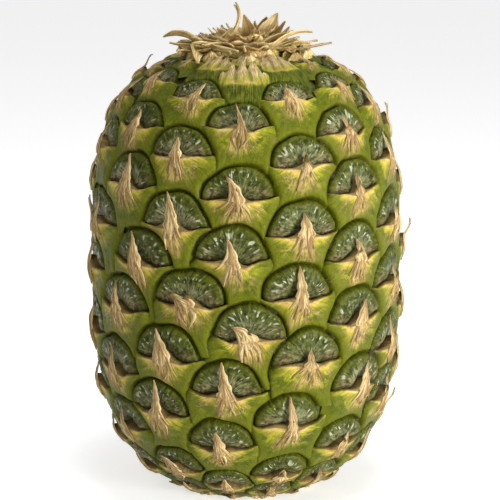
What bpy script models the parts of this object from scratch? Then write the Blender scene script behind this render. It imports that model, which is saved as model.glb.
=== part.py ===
"""A whole ripe pineapple whose crown has been broken off, standing on its base.

The fruit body is one skin. Its eyes sit on a spiral lattice that is laid out on a
flat chart of the body (width round the girth, height along the meridian), and the
chart is then wrapped round the outline. Lengths are in metres, +Z is up, and the
fruit faces -Y.
"""
import math
import random

import bmesh
import bpy
import numpy as np
from mathutils import Vector
from mathutils.geometry import delaunay_2d_cdt

MM = 0.001
TAU = 2 * math.pi

# Outline of the body: two half superellipses that meet at the girth
GIRTH_RADIUS = 62.0 * MM
UPPER_HEIGHT = 91.6 * MM
LOWER_HEIGHT = 88.0 * MM
UPPER_FULLNESS = 3.15
LOWER_FULLNESS = 2.823
BASE_CUT = 1.8 * MM
SEAT_RADIUS = 24.0 * MM
OUTLINE_STEPS = 1200

# Spiral lattice of the eyes, in units of the girth radius on the chart
COLUMNS = 15
ROW_PITCH = 0.402
FIRST_ROW = 1.489
ROW_SKEW = ROW_PITCH / 30
FIRST_ANGLE = -0.005
ROW_DRIFT = -0.022
SHRINK_POWER = 0.935
ROWS_ABOVE = 2
ROWS_BELOW = 9

# One diagonal row grew out of step with the others
SLIP_ROW = 4.0
SLIP_REACH = 4
SLIP_SIDE = 6.6
SLIP_SIDE_FADE = 1.3
SLIP_DOWN = 2.2
SLIP_DOWN_FADE = 1.6

# Slight unevenness of growth: waves round the girth, waves per millimetre up, side and height shift
WARP_WAVES = ((17, 0.21, 0.35, 0.30), (23, -0.26, 0.30, 0.28), (31, 0.34, 0.25, 0.25), (14, -0.12, 0.40, 0.35))
WARP_PHASE = 1.7
WARP_FADE = 14.0
WARP_ROUNDS = 4

# Eyes that sit off the lattice, as column and row: shift round the girth and up, in millimetres
SHIFTED_EYES = {
    (0, 0.0): (0.0, 4.5), (0, 1.0): (0.0, 3.2), (0, 3.0): (0.0, 1.7), (0, 6.0): (-2.4, -0.7),
    (0, 7.0): (0.0, -2.5), (1, -0.5): (-1.5, 4.0), (1, 0.5): (-3.4, 6.4), (1, 5.5): (0.7, -1.5),
    (1, 6.5): (0.0, -5.0), (2, 0.0): (5.5, -0.5), (2, 1.0): (-2.4, 0.4), (2, 2.0): (-1.5, 1.4),
    (2, 3.0): (-1.0, 1.6), (2, 4.0): (0.6, 1.9), (2, 5.0): (2.3, -1.6), (2, 6.0): (2.0, -2.4),
    (3, -0.5): (8.0, 1.5), (-1, -0.5): (1.0, 4.0), (-1, 0.5): (1.5, 4.8), (-1, 1.5): (0.0, 2.4),
    (-1, 2.5): (1.8, 0.8), (-1, 3.5): (1.0, 1.3), (-1, 5.5): (-3.3, 1.0), (-1, 6.5): (0.0, -4.5),
    (-2, 0.0): (-8.0, 0.5), (-2, 2.0): (3.4, 1.0), (-2, 3.0): (2.6, 2.4), (-2, 4.0): (2.2, 2.2),
    (-2, 5.0): (-1.5, 1.2),
}

# One eye on the chart, in millimetres at the girth, measured from its ledge
DOME_RADIUS = 15.0
DOME_RISE = 0.2
DOME_FLATNESS = 0.96
RIM_RADIUS = 13.2
GROOVE_RADIUS = 14.8
COLLAR_RADIUS = 16.5
RIM_POINTS = 8
GROOVE_POINTS = 8
COLLAR_POINTS = 5
DOME_MIDDLE_RADIUS = 6.8
DOME_MIDDLE_POINTS = 4
ARM_LENGTH = 15.6
ARM_DROP = 0.8
ARM_LIFT = 2.0
PEAK_RISE = 4.2
PEAK_REACH = 2.6
LIP_STATIONS = (-12.6, -7.4, -2.3, 2.3, 7.4, 12.6)
FOOT_STATIONS = (-10.6, -5.2, 0.0, 5.2, 10.6)
FOOT_STEP = 1.4
FOOT_PEAK = 0.6
BRACT_POINTS = ((0.0, -4.0, 2.0), (-6.6, -4.6, 1.2), (6.6, -4.6, 1.2), (0.0, -7.8, 1.0))
SMALL_EYE = 0.8

# Topmost eyes next to the crown have no dome: their bract ends in a leaf that lies on the shoulder
LEAFY_RADIUS = 29.0 * MM
LEAFY_FRONT_EYES = ((0, 0), (0, -1), (1, -0.5), (-1, -0.5))
LEAFY_POINTS = (
    (0.0, 4.0, 2.6), (-5.6, 3.4, 1.9), (5.6, 3.4, 1.9), (0.0, 10.5, 3.0), (-3.4, 9.8, 2.3),
    (3.4, 9.8, 2.3), (0.0, 17.0, 3.2), (-10.0, 8.0, -0.6), (10.0, 8.0, -0.6),
)
LEAFY_HEADROOM = 23.0 * MM

# Relief heights of the skin over the mean outline, in millimetres at the girth
RIM_HEIGHT = -0.1
GROOVE_HEIGHT = -2.4
COLLAR_HEIGHT = 0.4
DOME_HEIGHT = -0.2
DIMPLE_HEIGHT = -0.8
FOOT_HEIGHT = -1.6
LIP_CREST = 1.6
LIP_END = 0.6
JITTER = 0.35

# Papery spike at the middle of every ledge
SPIKE_RISE = 9.5
SPIKE_OUT = 1.9
SPIKE_LEAN = 1.6
SPIKE_SEED_LIFT = 1.5
SPIKE_CLEAR_RADIUS = 36.0 * MM

# Cut stalk in the middle of the base
STALK_RADIUS = 12.0 * MM
STALK_HEIGHT = 3.4 * MM
STALK_RECESS = 0.6 * MM
STALK_SIDES = 36
GAP = 0.3 * MM
HOLLOW_LIP = 1.8 * MM

# Stub of the broken crown
CORE_RADIUS = 20.0 * MM
CORE_HEIGHT = 9.0 * MM
CORE_TOP_RADIUS = 6.0 * MM
CORE_SIDES = 28
BLADE_THICKNESS = 1.1 * MM
BLADE_TIP_THICKNESS = 0.8 * MM
BLADE_TIP_WIDTH = 0.9 * MM
BLADE_STEPS = 5
BLADE_GUTTER = 0.36
BLADE_UPWARD = 1.2
SHOULDER_CLEARANCE = 3.3 * MM
STACKING = 0.023 * MM
SLIVER = 0.004 * MM

# Triangulation of the chart, in millimetres
CHART_MARGIN = 45.0
NEAR_FEATURE = 1.0
NEAR_POINT = 2.1
EDGE_MARGIN = 2.2
RING_POINTS = 42
CDT_EPSILON = 1e-6


def clear_scene():
    """Remove whatever the startup scene holds."""
    for thing in list(bpy.data.objects):
        bpy.data.objects.remove(thing, do_unlink=True)


def make_material(name, colour, roughness):
    """A plain Principled material."""
    material = bpy.data.materials.new(name)
    material.use_nodes = True
    shader = material.node_tree.nodes["Principled BSDF"]
    shader.inputs["Base Color"].default_value = (*colour, 1.0)
    shader.inputs["Roughness"].default_value = roughness
    shader.inputs["Metallic"].default_value = 0.0
    return material


def add_object(name, verts, faces, material, smooth=False):
    """A mesh object with outward normals."""
    mesh = bpy.data.meshes.new(name)
    mesh.from_pydata([tuple(v) for v in verts], [], faces)
    mesh.materials.append(material)
    work = bmesh.new()
    work.from_mesh(mesh)
    bmesh.ops.recalc_face_normals(work, faces=work.faces[:])
    work.to_mesh(mesh)
    work.free()
    mesh.polygons.foreach_set("use_smooth", [smooth] * len(mesh.polygons))
    body = bpy.data.objects.new(name, mesh)
    bpy.context.scene.collection.objects.link(body)
    return body


class Outline:
    """The outline of the body, looked up by the chart height in millimetres."""

    def __init__(self):
        turn = np.linspace(0.0, math.pi / 2, OUTLINE_STEPS)
        upper = self.half(turn, UPPER_HEIGHT, UPPER_FULLNESS)
        lower = self.half(turn, LOWER_HEIGHT, LOWER_FULLNESS)
        lower[:, 1] *= -1
        path = np.vstack([lower[:0:-1], upper])
        floor = -LOWER_HEIGHT + BASE_CUT
        keep = (path[:, 1] > floor) & ((path[:, 1] < 0) | (path[:, 0] > SEAT_RADIUS))
        path = path[keep]
        step = np.linalg.norm(np.diff(path, axis=0), axis=1)
        middle = (path[1:, 0] + path[:-1, 0]) / 2 / GIRTH_RADIUS
        chart = np.concatenate([[0.0], np.cumsum(step / middle**SHRINK_POWER)])
        girth = np.interp(0.0, path[:, 1], chart)
        tangent = np.gradient(path, axis=0)
        tangent /= np.linalg.norm(tangent, axis=1)[:, None]
        self.chart = (chart - girth) / MM
        self.radius = path[:, 0]
        self.level = path[:, 1] - floor
        self.out = tangent[:, 1]
        self.up = -tangent[:, 0]
        self.low = self.chart[0]
        self.high = self.chart[-1]

    @staticmethod
    def half(turn, height, fullness):
        """One half of the outline as rows of radius and level."""
        across = np.cos(turn).clip(0, None) ** (2 / fullness)
        along = np.sin(turn).clip(0, None) ** (2 / fullness)
        return np.stack([GIRTH_RADIUS * across, height * along], axis=1)

    def scale(self, y):
        """How much smaller the skin is at this chart height than at the girth."""
        return float(np.interp(y, self.chart, self.radius)) / GIRTH_RADIUS

    def warp(self, x, y):
        """Chart position after the unevenness of growth."""
        fade = min(1.0, max(0.0, min(y - self.low, self.high - y) / WARP_FADE))
        for number, (turns, rise, side, lift) in enumerate(WARP_WAVES):
            phase = turns * x * MM / GIRTH_RADIUS + rise * y + WARP_PHASE * number
            x, y = x + fade * side * math.sin(phase), y + fade * lift * math.cos(phase)
        return x, y

    def point(self, x, y, height):
        """Chart position and relief height, all in millimetres, as a point in space."""
        x, y = self.warp(x, y)
        radius = float(np.interp(y, self.chart, self.radius))
        level = float(np.interp(y, self.chart, self.level))
        out = float(np.interp(y, self.chart, self.out))
        up = float(np.interp(y, self.chart, self.up))
        lift = height * MM * (radius / GIRTH_RADIUS) ** SHRINK_POWER
        if up < 0.0:
            lift = min(lift, level / -up)
        angle = x * MM / GIRTH_RADIUS
        ring = radius + lift * out
        level = max(0.0, level + lift * up)
        if ring < LEAFY_HEADROOM and up > 0.0:
            level = min(level, float(self.level[-1]))
        return Vector((ring * math.sin(angle), -ring * math.cos(angle), level))


def eye_positions(outline):
    """Chart positions of the eyes in millimetres, and whether each ends in a leaf."""
    girth = GIRTH_RADIUS / MM
    eyes = []
    for column in range(COLUMNS):
        signed = column if column <= COLUMNS // 2 else column - COLUMNS
        for count in range(-ROWS_ABOVE, ROWS_BELOW):
            row = count + (0.5 if signed % 2 else 0.0)
            x = girth * (FIRST_ANGLE + signed * TAU / COLUMNS + ROW_DRIFT * row)
            y = girth * (FIRST_ROW - ROW_PITCH * row - ROW_SKEW * signed)
            if abs(row - signed / 2 - SLIP_ROW) < 0.1 and abs(signed) <= SLIP_REACH:
                fade = 1.0 - max(0, abs(signed) - 2) / SLIP_REACH
                x += fade * (SLIP_SIDE - SLIP_SIDE_FADE * signed)
                y -= fade * (SLIP_DOWN - SLIP_DOWN_FADE * signed)
            side, lift = SHIFTED_EYES.get((signed, row), (0.0, 0.0))
            x, y = x + side, y + lift
            if outline.low - 6.0 < y < outline.high + 10.0:
                narrow = outline.scale(y) * GIRTH_RADIUS < LEAFY_RADIUS
                leafy = narrow or (signed, row) in LEAFY_FRONT_EYES
                seed_x, seed_y = x, y
                for _ in range(WARP_ROUNDS):
                    grown_x, grown_y = outline.warp(seed_x, seed_y)
                    seed_x, seed_y = seed_x + x - grown_x, seed_y + y - grown_y
                eyes.append((seed_x, seed_y, leafy))
    return eyes


class Chart:
    """Feature points on the wrapped chart, thinned so that none crowd each other."""

    def __init__(self, outline, eyes):
        self.outline = outline
        self.width = TAU * GIRTH_RADIUS / MM
        self.eyes = eyes
        self.points = []
        self.heights = []
        self.moves = {}
        self.edges = set()

    def apart(self, x, other):
        """Shortest signed distance round the girth."""
        return (x - other + self.width / 2) % self.width - self.width / 2

    def nearest(self, x, y):
        """Index and distance of the closest point so far."""
        best, reach = -1, 1e9
        for index, (px, py) in enumerate(self.points):
            dy = y - py
            if abs(dy) < 5.0:
                far = math.hypot(self.apart(x, px), dy)
                if far < reach:
                    best, reach = index, far
        return best, reach

    def in_dome(self, x, y, radius, skip=-1):
        """Whether a chart position lies in the dome of another eye."""
        for index, (ex, ey, leafy) in enumerate(self.eyes):
            if leafy or index == skip or abs(y - ey) > 20.0:
                continue
            dx = self.apart(x, ex)
            dy = y - ey
            above = dy > ledge_line(dx) - 0.4
            if above and math.hypot(dx, (dy - DOME_RISE) / DOME_FLATNESS) < radius:
                return True
        return False

    def add(self, x, y, height, near):
        """Add a point, or give back the one that already stands there."""
        low = self.outline.low + EDGE_MARGIN
        high = self.outline.high - EDGE_MARGIN
        if not low < y < high:
            return -1
        index, reach = self.nearest(x, y)
        if reach < near:
            return -1
        self.points.append((x % self.width, y))
        self.heights.append(height)
        return len(self.points) - 1

    def join(self, chain):
        """Keep the edges between neighbouring points of a chain."""
        for first, second in zip(chain, chain[1:]):
            if first >= 0 and second >= 0 and first != second:
                self.edges.add((min(first, second), max(first, second)))


def ledge_line(x):
    """Height of the top edge of a bract at a distance from its middle."""
    return ARM_LIFT * min(1.0, abs(x) / ARM_LENGTH) ** 2 - ARM_DROP


def ledge_peak(x):
    """How far the top edge flares up towards the spike."""
    return PEAK_RISE * math.exp(-abs(x) / PEAK_REACH)


def ledge_height(x):
    """Relief of the top edge of a bract at a distance from its middle."""
    share = min(1.0, abs(x) / ARM_LENGTH)
    return LIP_CREST + (LIP_END - LIP_CREST) * share**1.3


def add_ledges(chart, rng):
    """The stepped top edge of every bract, with the papery spike in its middle."""
    for index, (ex, ey, leafy) in enumerate(chart.eyes):
        lips = []
        for x in LIP_STATIONS:
            px, py = ex + x, ey + ledge_line(x) + ledge_peak(x)
            if chart.in_dome(px, py, DOME_RADIUS, index):
                lips.append(-1)
            else:
                lips.append(chart.add(px, py, ledge_height(x), NEAR_FEATURE))
        feet = []
        if leafy:
            chart.join(lips)
            continue
        for x in FOOT_STATIONS:
            px, py = ex + x, ey + ledge_line(x) + ledge_peak(x) * FOOT_PEAK + FOOT_STEP
            if chart.in_dome(px, py, GROOVE_RADIUS, index):
                feet.append(-1)
            else:
                feet.append(chart.add(px, py, FOOT_HEIGHT, NEAR_FEATURE))
        body = chart.add(ex, ey + BRACT_POINTS[0][1], BRACT_POINTS[0][2], NEAR_FEATURE)
        left, right, foot = lips[2], lips[3], feet[2]
        if min(left, right, foot, body) >= 0:
            add_spike(chart, rng, (ex, ey), (left, right, foot, body))
            chart.join(lips[:3])
            chart.join(lips[3:])
        else:
            chart.join(lips)
        chart.join(feet)


def add_spike(chart, rng, eye, base):
    """A pointed spike that stands on four points of the ledge."""
    ex, ey = eye
    size = chart.outline.scale(ey)
    lean = rng.uniform(-SPIKE_LEAN, SPIKE_LEAN)
    rise = SPIKE_RISE * rng.uniform(0.8, 1.15)
    out = SPIKE_OUT * rng.uniform(0.8, 1.1)
    left, right, foot, body = base
    chart.join((left, foot, right, body, left))
    if size * GIRTH_RADIUS < SPIKE_CLEAR_RADIUS:
        return
    seed = chart.add(ex, ey + SPIKE_SEED_LIFT, LIP_CREST, 0.0)
    if seed >= 0:
        chart.moves[seed] = (ex + lean, ey + rise, out)


def add_rings(chart):
    """Groove, rim and middle of every dome, and the collar round it."""
    for radius, count, height, spread in (
        (GROOVE_RADIUS, GROOVE_POINTS, GROOVE_HEIGHT, 158.0),
        (RIM_RADIUS, RIM_POINTS, RIM_HEIGHT, 156.0),
        (DOME_MIDDLE_RADIUS, DOME_MIDDLE_POINTS, DOME_HEIGHT, 160.0),
        (COLLAR_RADIUS, COLLAR_POINTS, COLLAR_HEIGHT, 158.0),
    ):
        for index, (ex, ey, leafy) in enumerate(chart.eyes):
            if leafy:
                continue
            small = chart.outline.scale(ey) < SMALL_EYE
            total = max(4, round(count * 0.65)) if small else count
            chain = []
            for step in range(total):
                turn = math.radians(90.0 + spread * (step / (total - 1) - 0.5))
                px = ex + radius * math.cos(turn)
                py = ey + DOME_RISE + radius * DOME_FLATNESS * math.sin(turn)
                crowded = chart.in_dome(px, py, DOME_RADIUS + 0.3, index)
                if crowded:
                    chain.append(-1)
                elif radius == GROOVE_RADIUS:
                    near, reach = chart.nearest(px, py)
                    if reach < NEAR_POINT and near >= 0 and chart.heights[near] == GROOVE_HEIGHT:
                        chain.append(near)
                    else:
                        chain.append(chart.add(px, py, height, 1.4))
                else:
                    chart.add(px, py, height, 1.35)
            if radius == GROOVE_RADIUS:
                chart.join(chain)
            if radius == DOME_MIDDLE_RADIUS:
                chart.add(ex, ey + 4.4, DIMPLE_HEIGHT, NEAR_POINT)


def add_bracts(chart):
    """Swollen middle of every bract below its ledge."""
    for index, (ex, ey, leafy) in enumerate(chart.eyes):
        small = chart.outline.scale(ey) < SMALL_EYE
        for x, y, height in LEAFY_POINTS if leafy else ():
            if not chart.in_dome(ex + x, ey + y, DOME_RADIUS, index):
                chart.add(ex + x, ey + y, height, NEAR_POINT)
        for x, y, height in BRACT_POINTS[1:]:
            if small and x:
                continue
            if not chart.in_dome(ex + x, ey + y, COLLAR_RADIUS, index):
                chart.add(ex + x, ey + y, height, NEAR_POINT)


def wrap_triangles(chart, top_ring, base_ring):
    """Triangulate the chart with copies past its seam and keep one turn of it."""
    places, names = [], []
    for index, (x, y) in enumerate(chart.points):
        for shift in (-chart.width, 0.0, chart.width):
            if -CHART_MARGIN < x + shift < chart.width + CHART_MARGIN:
                places.append((x + shift, y))
                names.append(index)
    lookup = {}
    for slot, (place, name) in enumerate(zip(places, names)):
        lookup.setdefault(name, []).append((place[0], slot))
    edges = []
    for first, second in sorted(chart.edges | top_ring | base_ring):
        for x, slot in lookup[first]:
            for other_x, other in lookup[second]:
                if abs(x - other_x) < chart.width / 3:
                    edges.append((slot, other))
    result = delaunay_2d_cdt([Vector(p) for p in places], edges, [], 0, CDT_EPSILON, True)
    coords, _, faces, origins = result[0], result[1], result[2], result[3]
    kept = []
    for face in faces:
        middle = sum(coords[v].x for v in face) / 3
        if 0.0 <= middle < chart.width:
            kept.append(tuple(names[origins[v][0]] for v in face))
    return kept


def ring_edges(start, count):
    """Edges round a closed ring of points."""
    ring = set()
    for step in range(count):
        ring.add((start + step, start + (step + 1) % count))
    return ring


def make_fruit(outline, material):
    """The fruit body with all its eyes, as one closed skin."""
    rng = random.Random(7)
    chart = Chart(outline, eye_positions(outline))
    add_ledges(chart, rng)
    add_rings(chart)
    add_bracts(chart)
    feature_count = len(chart.points)
    for index in range(feature_count):
        if index in chart.moves:
            continue
        x, y = chart.points[index]
        shift = JITTER * 0.25
        chart.points[index] = (x + rng.uniform(-shift, shift), y + rng.uniform(-shift, shift))
        chart.heights[index] += rng.uniform(-JITTER, JITTER) * 0.5
    rings = []
    for y in (outline.high, outline.low):
        start = len(chart.points)
        for step in range(RING_POINTS):
            chart.points.append((chart.width * (step + 0.37) / RING_POINTS, y))
            chart.heights.append(0.0)
        rings.append(start)
    top, base = rings
    faces = wrap_triangles(chart, ring_edges(top, RING_POINTS), ring_edges(base, RING_POINTS))
    verts = []
    for index, (x, y) in enumerate(chart.points):
        height = chart.heights[index]
        if index in chart.moves:
            x, y, height = chart.moves[index]
        verts.append(outline.point(x, y, height))
    used = sorted({v for face in faces for v in face})
    order = {old: new for new, old in enumerate(used)}
    verts = [verts[v] for v in used]
    faces = [tuple(order[v] for v in face) for face in faces]
    top_ring = [order[top + step] for step in range(RING_POINTS)]
    base_ring = [order[base + step] for step in range(RING_POINTS)]
    verts.append(Vector((0.0, 0.0, float(outline.level[-1]))))
    centre = len(verts) - 1
    for step in range(RING_POINTS):
        faces.append((top_ring[step], top_ring[(step + 1) % RING_POINTS], centre))
    close_base(verts, faces, base_ring)
    print("fruit:", len(chart.eyes), "eyes,", len(faces), "faces")
    return add_object("fruit", verts, faces, material)


def close_base(verts, faces, ring):
    """Flat ring underneath with a shallow hollow for the stalk in its middle."""
    angles = [math.atan2(verts[v].x, -verts[v].y) for v in ring]
    for v in ring:
        verts[v].z = 0.0
    hollow = STALK_RADIUS + GAP
    rows = (
        (hollow + HOLLOW_LIP, 0.0),
        (hollow + GAP, HOLLOW_LIP),
        (hollow, STALK_RECESS + STALK_HEIGHT + GAP),
    )
    last = ring
    for radius, level in rows:
        row = []
        for angle in angles:
            verts.append(Vector((radius * math.sin(angle), -radius * math.cos(angle), level)))
            row.append(len(verts) - 1)
        for step in range(len(row)):
            after = (step + 1) % len(row)
            faces.append((last[step], last[after], row[after]))
            faces.append((last[step], row[after], row[step]))
        last = row
    verts.append(Vector((0.0, 0.0, rows[-1][1])))
    for step in range(len(last)):
        faces.append((last[step], last[(step + 1) % len(last)], len(verts) - 1))


def lathe(name, rows, sides, material, smooth=True):
    """A closed turned body from rows of radius and level, bottom to top."""
    verts, faces, rings = [], [], []
    for radius, level in rows:
        ring = []
        for step in range(sides):
            angle = TAU * step / sides
            verts.append((radius * math.cos(angle), radius * math.sin(angle), level))
            ring.append(len(verts) - 1)
        rings.append(ring)
    for low, high in zip(rings, rings[1:]):
        for step in range(sides):
            after = (step + 1) % sides
            faces.append((low[step], low[after], high[after], high[step]))
    faces.append(tuple(reversed(rings[0])))
    faces.append(tuple(rings[-1]))
    return add_object(name, verts, faces, material, smooth)


def make_stalk(material):
    """The cut end of the stalk, a little inside the base."""
    low, high = STALK_RECESS, STALK_RECESS + STALK_HEIGHT
    edge = 0.5 * MM
    rows = (
        (STALK_RADIUS - edge, low),
        (STALK_RADIUS, low + edge),
        (STALK_RADIUS, high),
    )
    return lathe("stalk_stub", rows, STALK_SIDES, material)


def crown_leaves(rng):
    """The torn leaves of the crown: root, bend, tip, width, bluntness and turn to the front.

    Places are in millimetres from the middle of the top of the fruit: right, back and up.
    """
    leaves = [
        ((-17.0, -8.0, 1.4), (-23.5, -11.0, 10.7), (-32.3, -6.0, 7.0), 9.0, 0.0, 0.0),
        ((-13.5, -12.0, 1.2), (-21.8, -17.0, 3.6), (-29.6, -14.0, 5.3), 5.5, 0.0, 0.0),
        ((-17.9, -9.6, 1.3), (-21.0, -20.0, 3.6), (-18.6, -30.0, -1.0), 8.0, 0.1, 0.0),
        ((-17.0, -6.0, 1.6), (-27.5, -11.0, 4.0), (-26.0, -22.0, 1.0), 5.0, 0.1, 0.0),
        ((-9.7, -5.0, 4.0), (-0.3, -6.0, 14.2), (-5.0, -3.0, 19.5), 2.6, 0.3, 0.5),
        ((-10.4, -9.0, 2.2), (-7.7, -8.5, 6.6), (-5.0, -6.0, 10.0), 6.0, 0.1, 0.8),
        ((-6.0, -3.0, 5.2), (-9.9, -4.0, 5.8), (-13.4, -5.0, 8.0), 4.0, 0.0, 0.0),
        ((1.6, 7.5, 2.8), (1.4, 6.2, 9.6), (-0.9, 4.0, 15.4), 9.5, 0.0, 1.0),
        ((3.7, 9.0, 3.6), (3.6, 7.5, 8.6), (3.6, 6.0, 12.9), 4.4, 0.0, 1.0),
        ((8.4, 7.0, 2.4), (9.0, 6.0, 10.4), (12.8, 4.4, 16.0), 12.5, 0.0, 1.0),
        ((6.0, 8.2, 2.4), (6.4, 7.2, 9.8), (8.4, 6.2, 14.4), 9.5, 0.0, 1.0),
        ((3.8, -3.5, 3.4), (3.6, -5.0, 7.4), (4.2, -3.5, 10.0), 6.5, 0.2, 1.0),
        ((10.0, 6.0, 2.8), (13.4, 3.6, 8.4), (15.9, 2.0, 12.8), 4.6, 0.0, 0.6),
        ((12.6, 2.0, 2.4), (15.7, 0.6, 7.4), (17.5, 0.0, 10.8), 4.4, 0.0, 0.6),
        ((10.9, -10.0, 2.2), (17.4, -9.5, 9.9), (26.0, -6.0, 8.7), 7.5, 0.0, 0.3),
        ((14.0, -8.0, 1.6), (19.9, -8.5, 5.8), (25.0, -7.0, 4.2), 4.5, 0.0, 0.0),
        ((-14.0, -12.0, 1.4), (-15.0, -21.0, 5.0), (-5.0, -26.5, 2.0), 7.0, 0.3, 0.0),
        ((-6.9, -12.0, 2.4), (-11.0, -20.0, 5.0), (-17.0, -22.0, 4.6), 7.0, 0.2, 0.0),
    ]
    rings = (
        (8, 16.5, 0.6, 10.5, 16.0, 22, 2, 6.0, 0.3),
        (7, 14.0, 2.0, 9.0, 15.0, 30, 14, 28.0, 0.45),
        (5, 11.5, 3.2, 7.5, 14.0, 36, 20, 5.0, 0.6),
        (4, 8.0, 4.6, 6.0, 10.0, 54, 46, 28.0, 0.5),
    )
    for count, root, level, length, width, start, end, first, blunt in rings:
        for step in range(count):
            turn = math.radians(first + 360.0 * step / count + rng.uniform(-9, 9))
            reach = root + rng.uniform(-1.0, 1.0)
            climb = level + rng.uniform(-0.4, 0.7)
            half = length * rng.uniform(0.8, 1.2) / 2
            path = []
            for slope in (0.0, start + rng.uniform(-7, 9), end + rng.uniform(-10, 12)):
                if path:
                    reach += half * math.cos(math.radians(slope))
                    climb += half * math.sin(math.radians(slope))
                path.append((reach * math.sin(turn), -reach * math.cos(turn), climb))
            leaves.append((*path, width * rng.uniform(0.85, 1.15), blunt * rng.uniform(0.6, 1.2), 0.0))
    return leaves


def blade_mesh(row, outline, number):
    """A tapering, bent and slightly gutter-shaped leaf base as a closed band."""
    root, bend, tip, width, blunt, front = row
    seat = Vector((0.0, 0.0, float(outline.level[-1])))
    root, bend, tip = (Vector(place) * MM + seat for place in (root, bend, tip))
    upright = (tip - root).normalized().z
    inward = Vector((-root.x, -root.y, 0.0)).normalized() * (1 - front) + Vector((0.0, -front, 0.0))
    inward.z = BLADE_UPWARD * (1 - upright**2)
    verts, faces = [], []
    rings = []
    for step in range(BLADE_STEPS + 1):
        share = step / BLADE_STEPS
        spine = root * (1 - share) ** 2 + bend * (2 * share * (1 - share)) + tip * share**2
        along = ((bend - root) * (1 - share) + (tip - bend) * share).normalized()
        reach = math.hypot(spine.x, spine.y)
        lowest = surface_level(outline, reach) + SHOULDER_CLEARANCE + STACKING * number
        if reach > CORE_RADIUS:
            spine.z = max(spine.z, lowest)
        side = along.cross(inward).normalized()
        normal = side.cross(along).normalized()
        taper = 1 - (1 - blunt) * share**1.4
        half = (width * MM * taper + BLADE_TIP_WIDTH) * 0.5
        thick = BLADE_THICKNESS + (BLADE_TIP_THICKNESS - BLADE_THICKNESS) * share
        gutter = half * BLADE_GUTTER
        ring = []
        for across, rise in ((-1, 1), (0, 0), (1, 1), (1, 1), (0, 0), (-1, 1)):
            place = spine + side * (half * across) + normal * (gutter * rise)
            place += normal * (thick if len(ring) < 3 else 0.0)
            verts.append(place)
            ring.append(len(verts) - 1)
        rings.append(ring)
    for low, high in zip(rings, rings[1:]):
        for step in range(6):
            after = (step + 1) % 6
            faces.append((low[step], low[after], high[after]))
            faces.append((low[step], high[after], high[step]))
    for ring, flip in ((rings[0], True), (rings[-1], False)):
        cap = ((0, 1, 4, 5), (1, 2, 3, 4))
        for quad in cap:
            corners = [ring[c] for c in quad]
            faces.append(tuple(reversed(corners)) if flip else tuple(corners))
    return verts, faces


def surface_level(outline, radius):
    """Level of the shoulder of the fruit at a distance from the axis."""
    upper = outline.chart > 0
    return float(np.interp(-radius, -outline.radius[upper], outline.level[upper]))


def make_crown(outline, material):
    """The short core of the crown with its torn leaf bases joined on."""
    rng = random.Random(19)
    seat = float(outline.level[-1]) + GAP
    rows = (
        (CORE_RADIUS - 1.0 * MM, seat),
        (CORE_RADIUS, seat + 1.0 * MM),
        (CORE_RADIUS - 2.0 * MM, seat + 0.35 * CORE_HEIGHT),
        (CORE_RADIUS - 7.0 * MM, seat + 0.7 * CORE_HEIGHT),
        (CORE_TOP_RADIUS, seat + CORE_HEIGHT),
    )
    core = lathe("crown_stub", rows, CORE_SIDES, material)
    blades = bpy.data.collections.new("blades")
    bpy.context.scene.collection.children.link(blades)
    pieces = []
    for index, row in enumerate(crown_leaves(rng)):
        verts, faces = blade_mesh(row, outline, index)
        piece = add_object("blade_%02d" % index, verts, faces, material)
        bpy.context.scene.collection.objects.unlink(piece)
        blades.objects.link(piece)
        pieces.append(piece)
    join = core.modifiers.new("join_blades", "BOOLEAN")
    join.operation = "UNION"
    join.operand_type = "COLLECTION"
    join.collection = blades
    join.solver = "EXACT"
    join.use_self = True
    bpy.context.view_layer.update()
    seen = core.evaluated_get(bpy.context.evaluated_depsgraph_get())
    joined = bpy.data.meshes.new_from_object(seen)
    core.modifiers.clear()
    core.data = joined
    for piece in pieces:
        bpy.data.objects.remove(piece, do_unlink=True)
    bpy.data.collections.remove(blades)
    keep_outer_shell(joined)
    print("crown:", len(joined.polygons), "faces")
    return core


def keep_outer_shell(mesh):
    """Drop the closed pockets that overlapping blades leave inside the union."""
    work = bmesh.new()
    work.from_mesh(mesh)
    left = set(work.verts)
    shells = []
    while left:
        shell, front = set(), [left.pop()]
        while front:
            vert = front.pop()
            shell.add(vert)
            for edge in vert.link_edges:
                other = edge.other_vert(vert)
                if other in left:
                    left.remove(other)
                    front.append(other)
        shells.append(shell)
    outer = max(shells, key=len)
    pockets = [vert for shell in shells if shell is not outer for vert in shell]
    bmesh.ops.delete(work, geom=pockets, context="VERTS")
    bmesh.ops.dissolve_degenerate(work, dist=SLIVER, edges=work.edges[:])
    loose = [edge for edge in work.edges if not edge.link_faces]
    bmesh.ops.delete(work, geom=loose, context="EDGES")
    work.to_mesh(mesh)
    work.free()


def main():
    """Build the three pieces of the pineapple."""
    clear_scene()
    outline = Outline()
    skin = make_material("fruit_skin", (0.115, 0.155, 0.03), 0.42)
    straw = make_material("dry_leaf", (0.46, 0.30, 0.10), 0.72)
    wood = make_material("cut_stalk", (0.42, 0.29, 0.14), 0.8)
    make_fruit(outline, skin)
    make_crown(outline, straw)
    make_stalk(wood)


main()
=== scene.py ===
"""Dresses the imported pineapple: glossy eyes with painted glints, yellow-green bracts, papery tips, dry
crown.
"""
import math
import random

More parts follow.
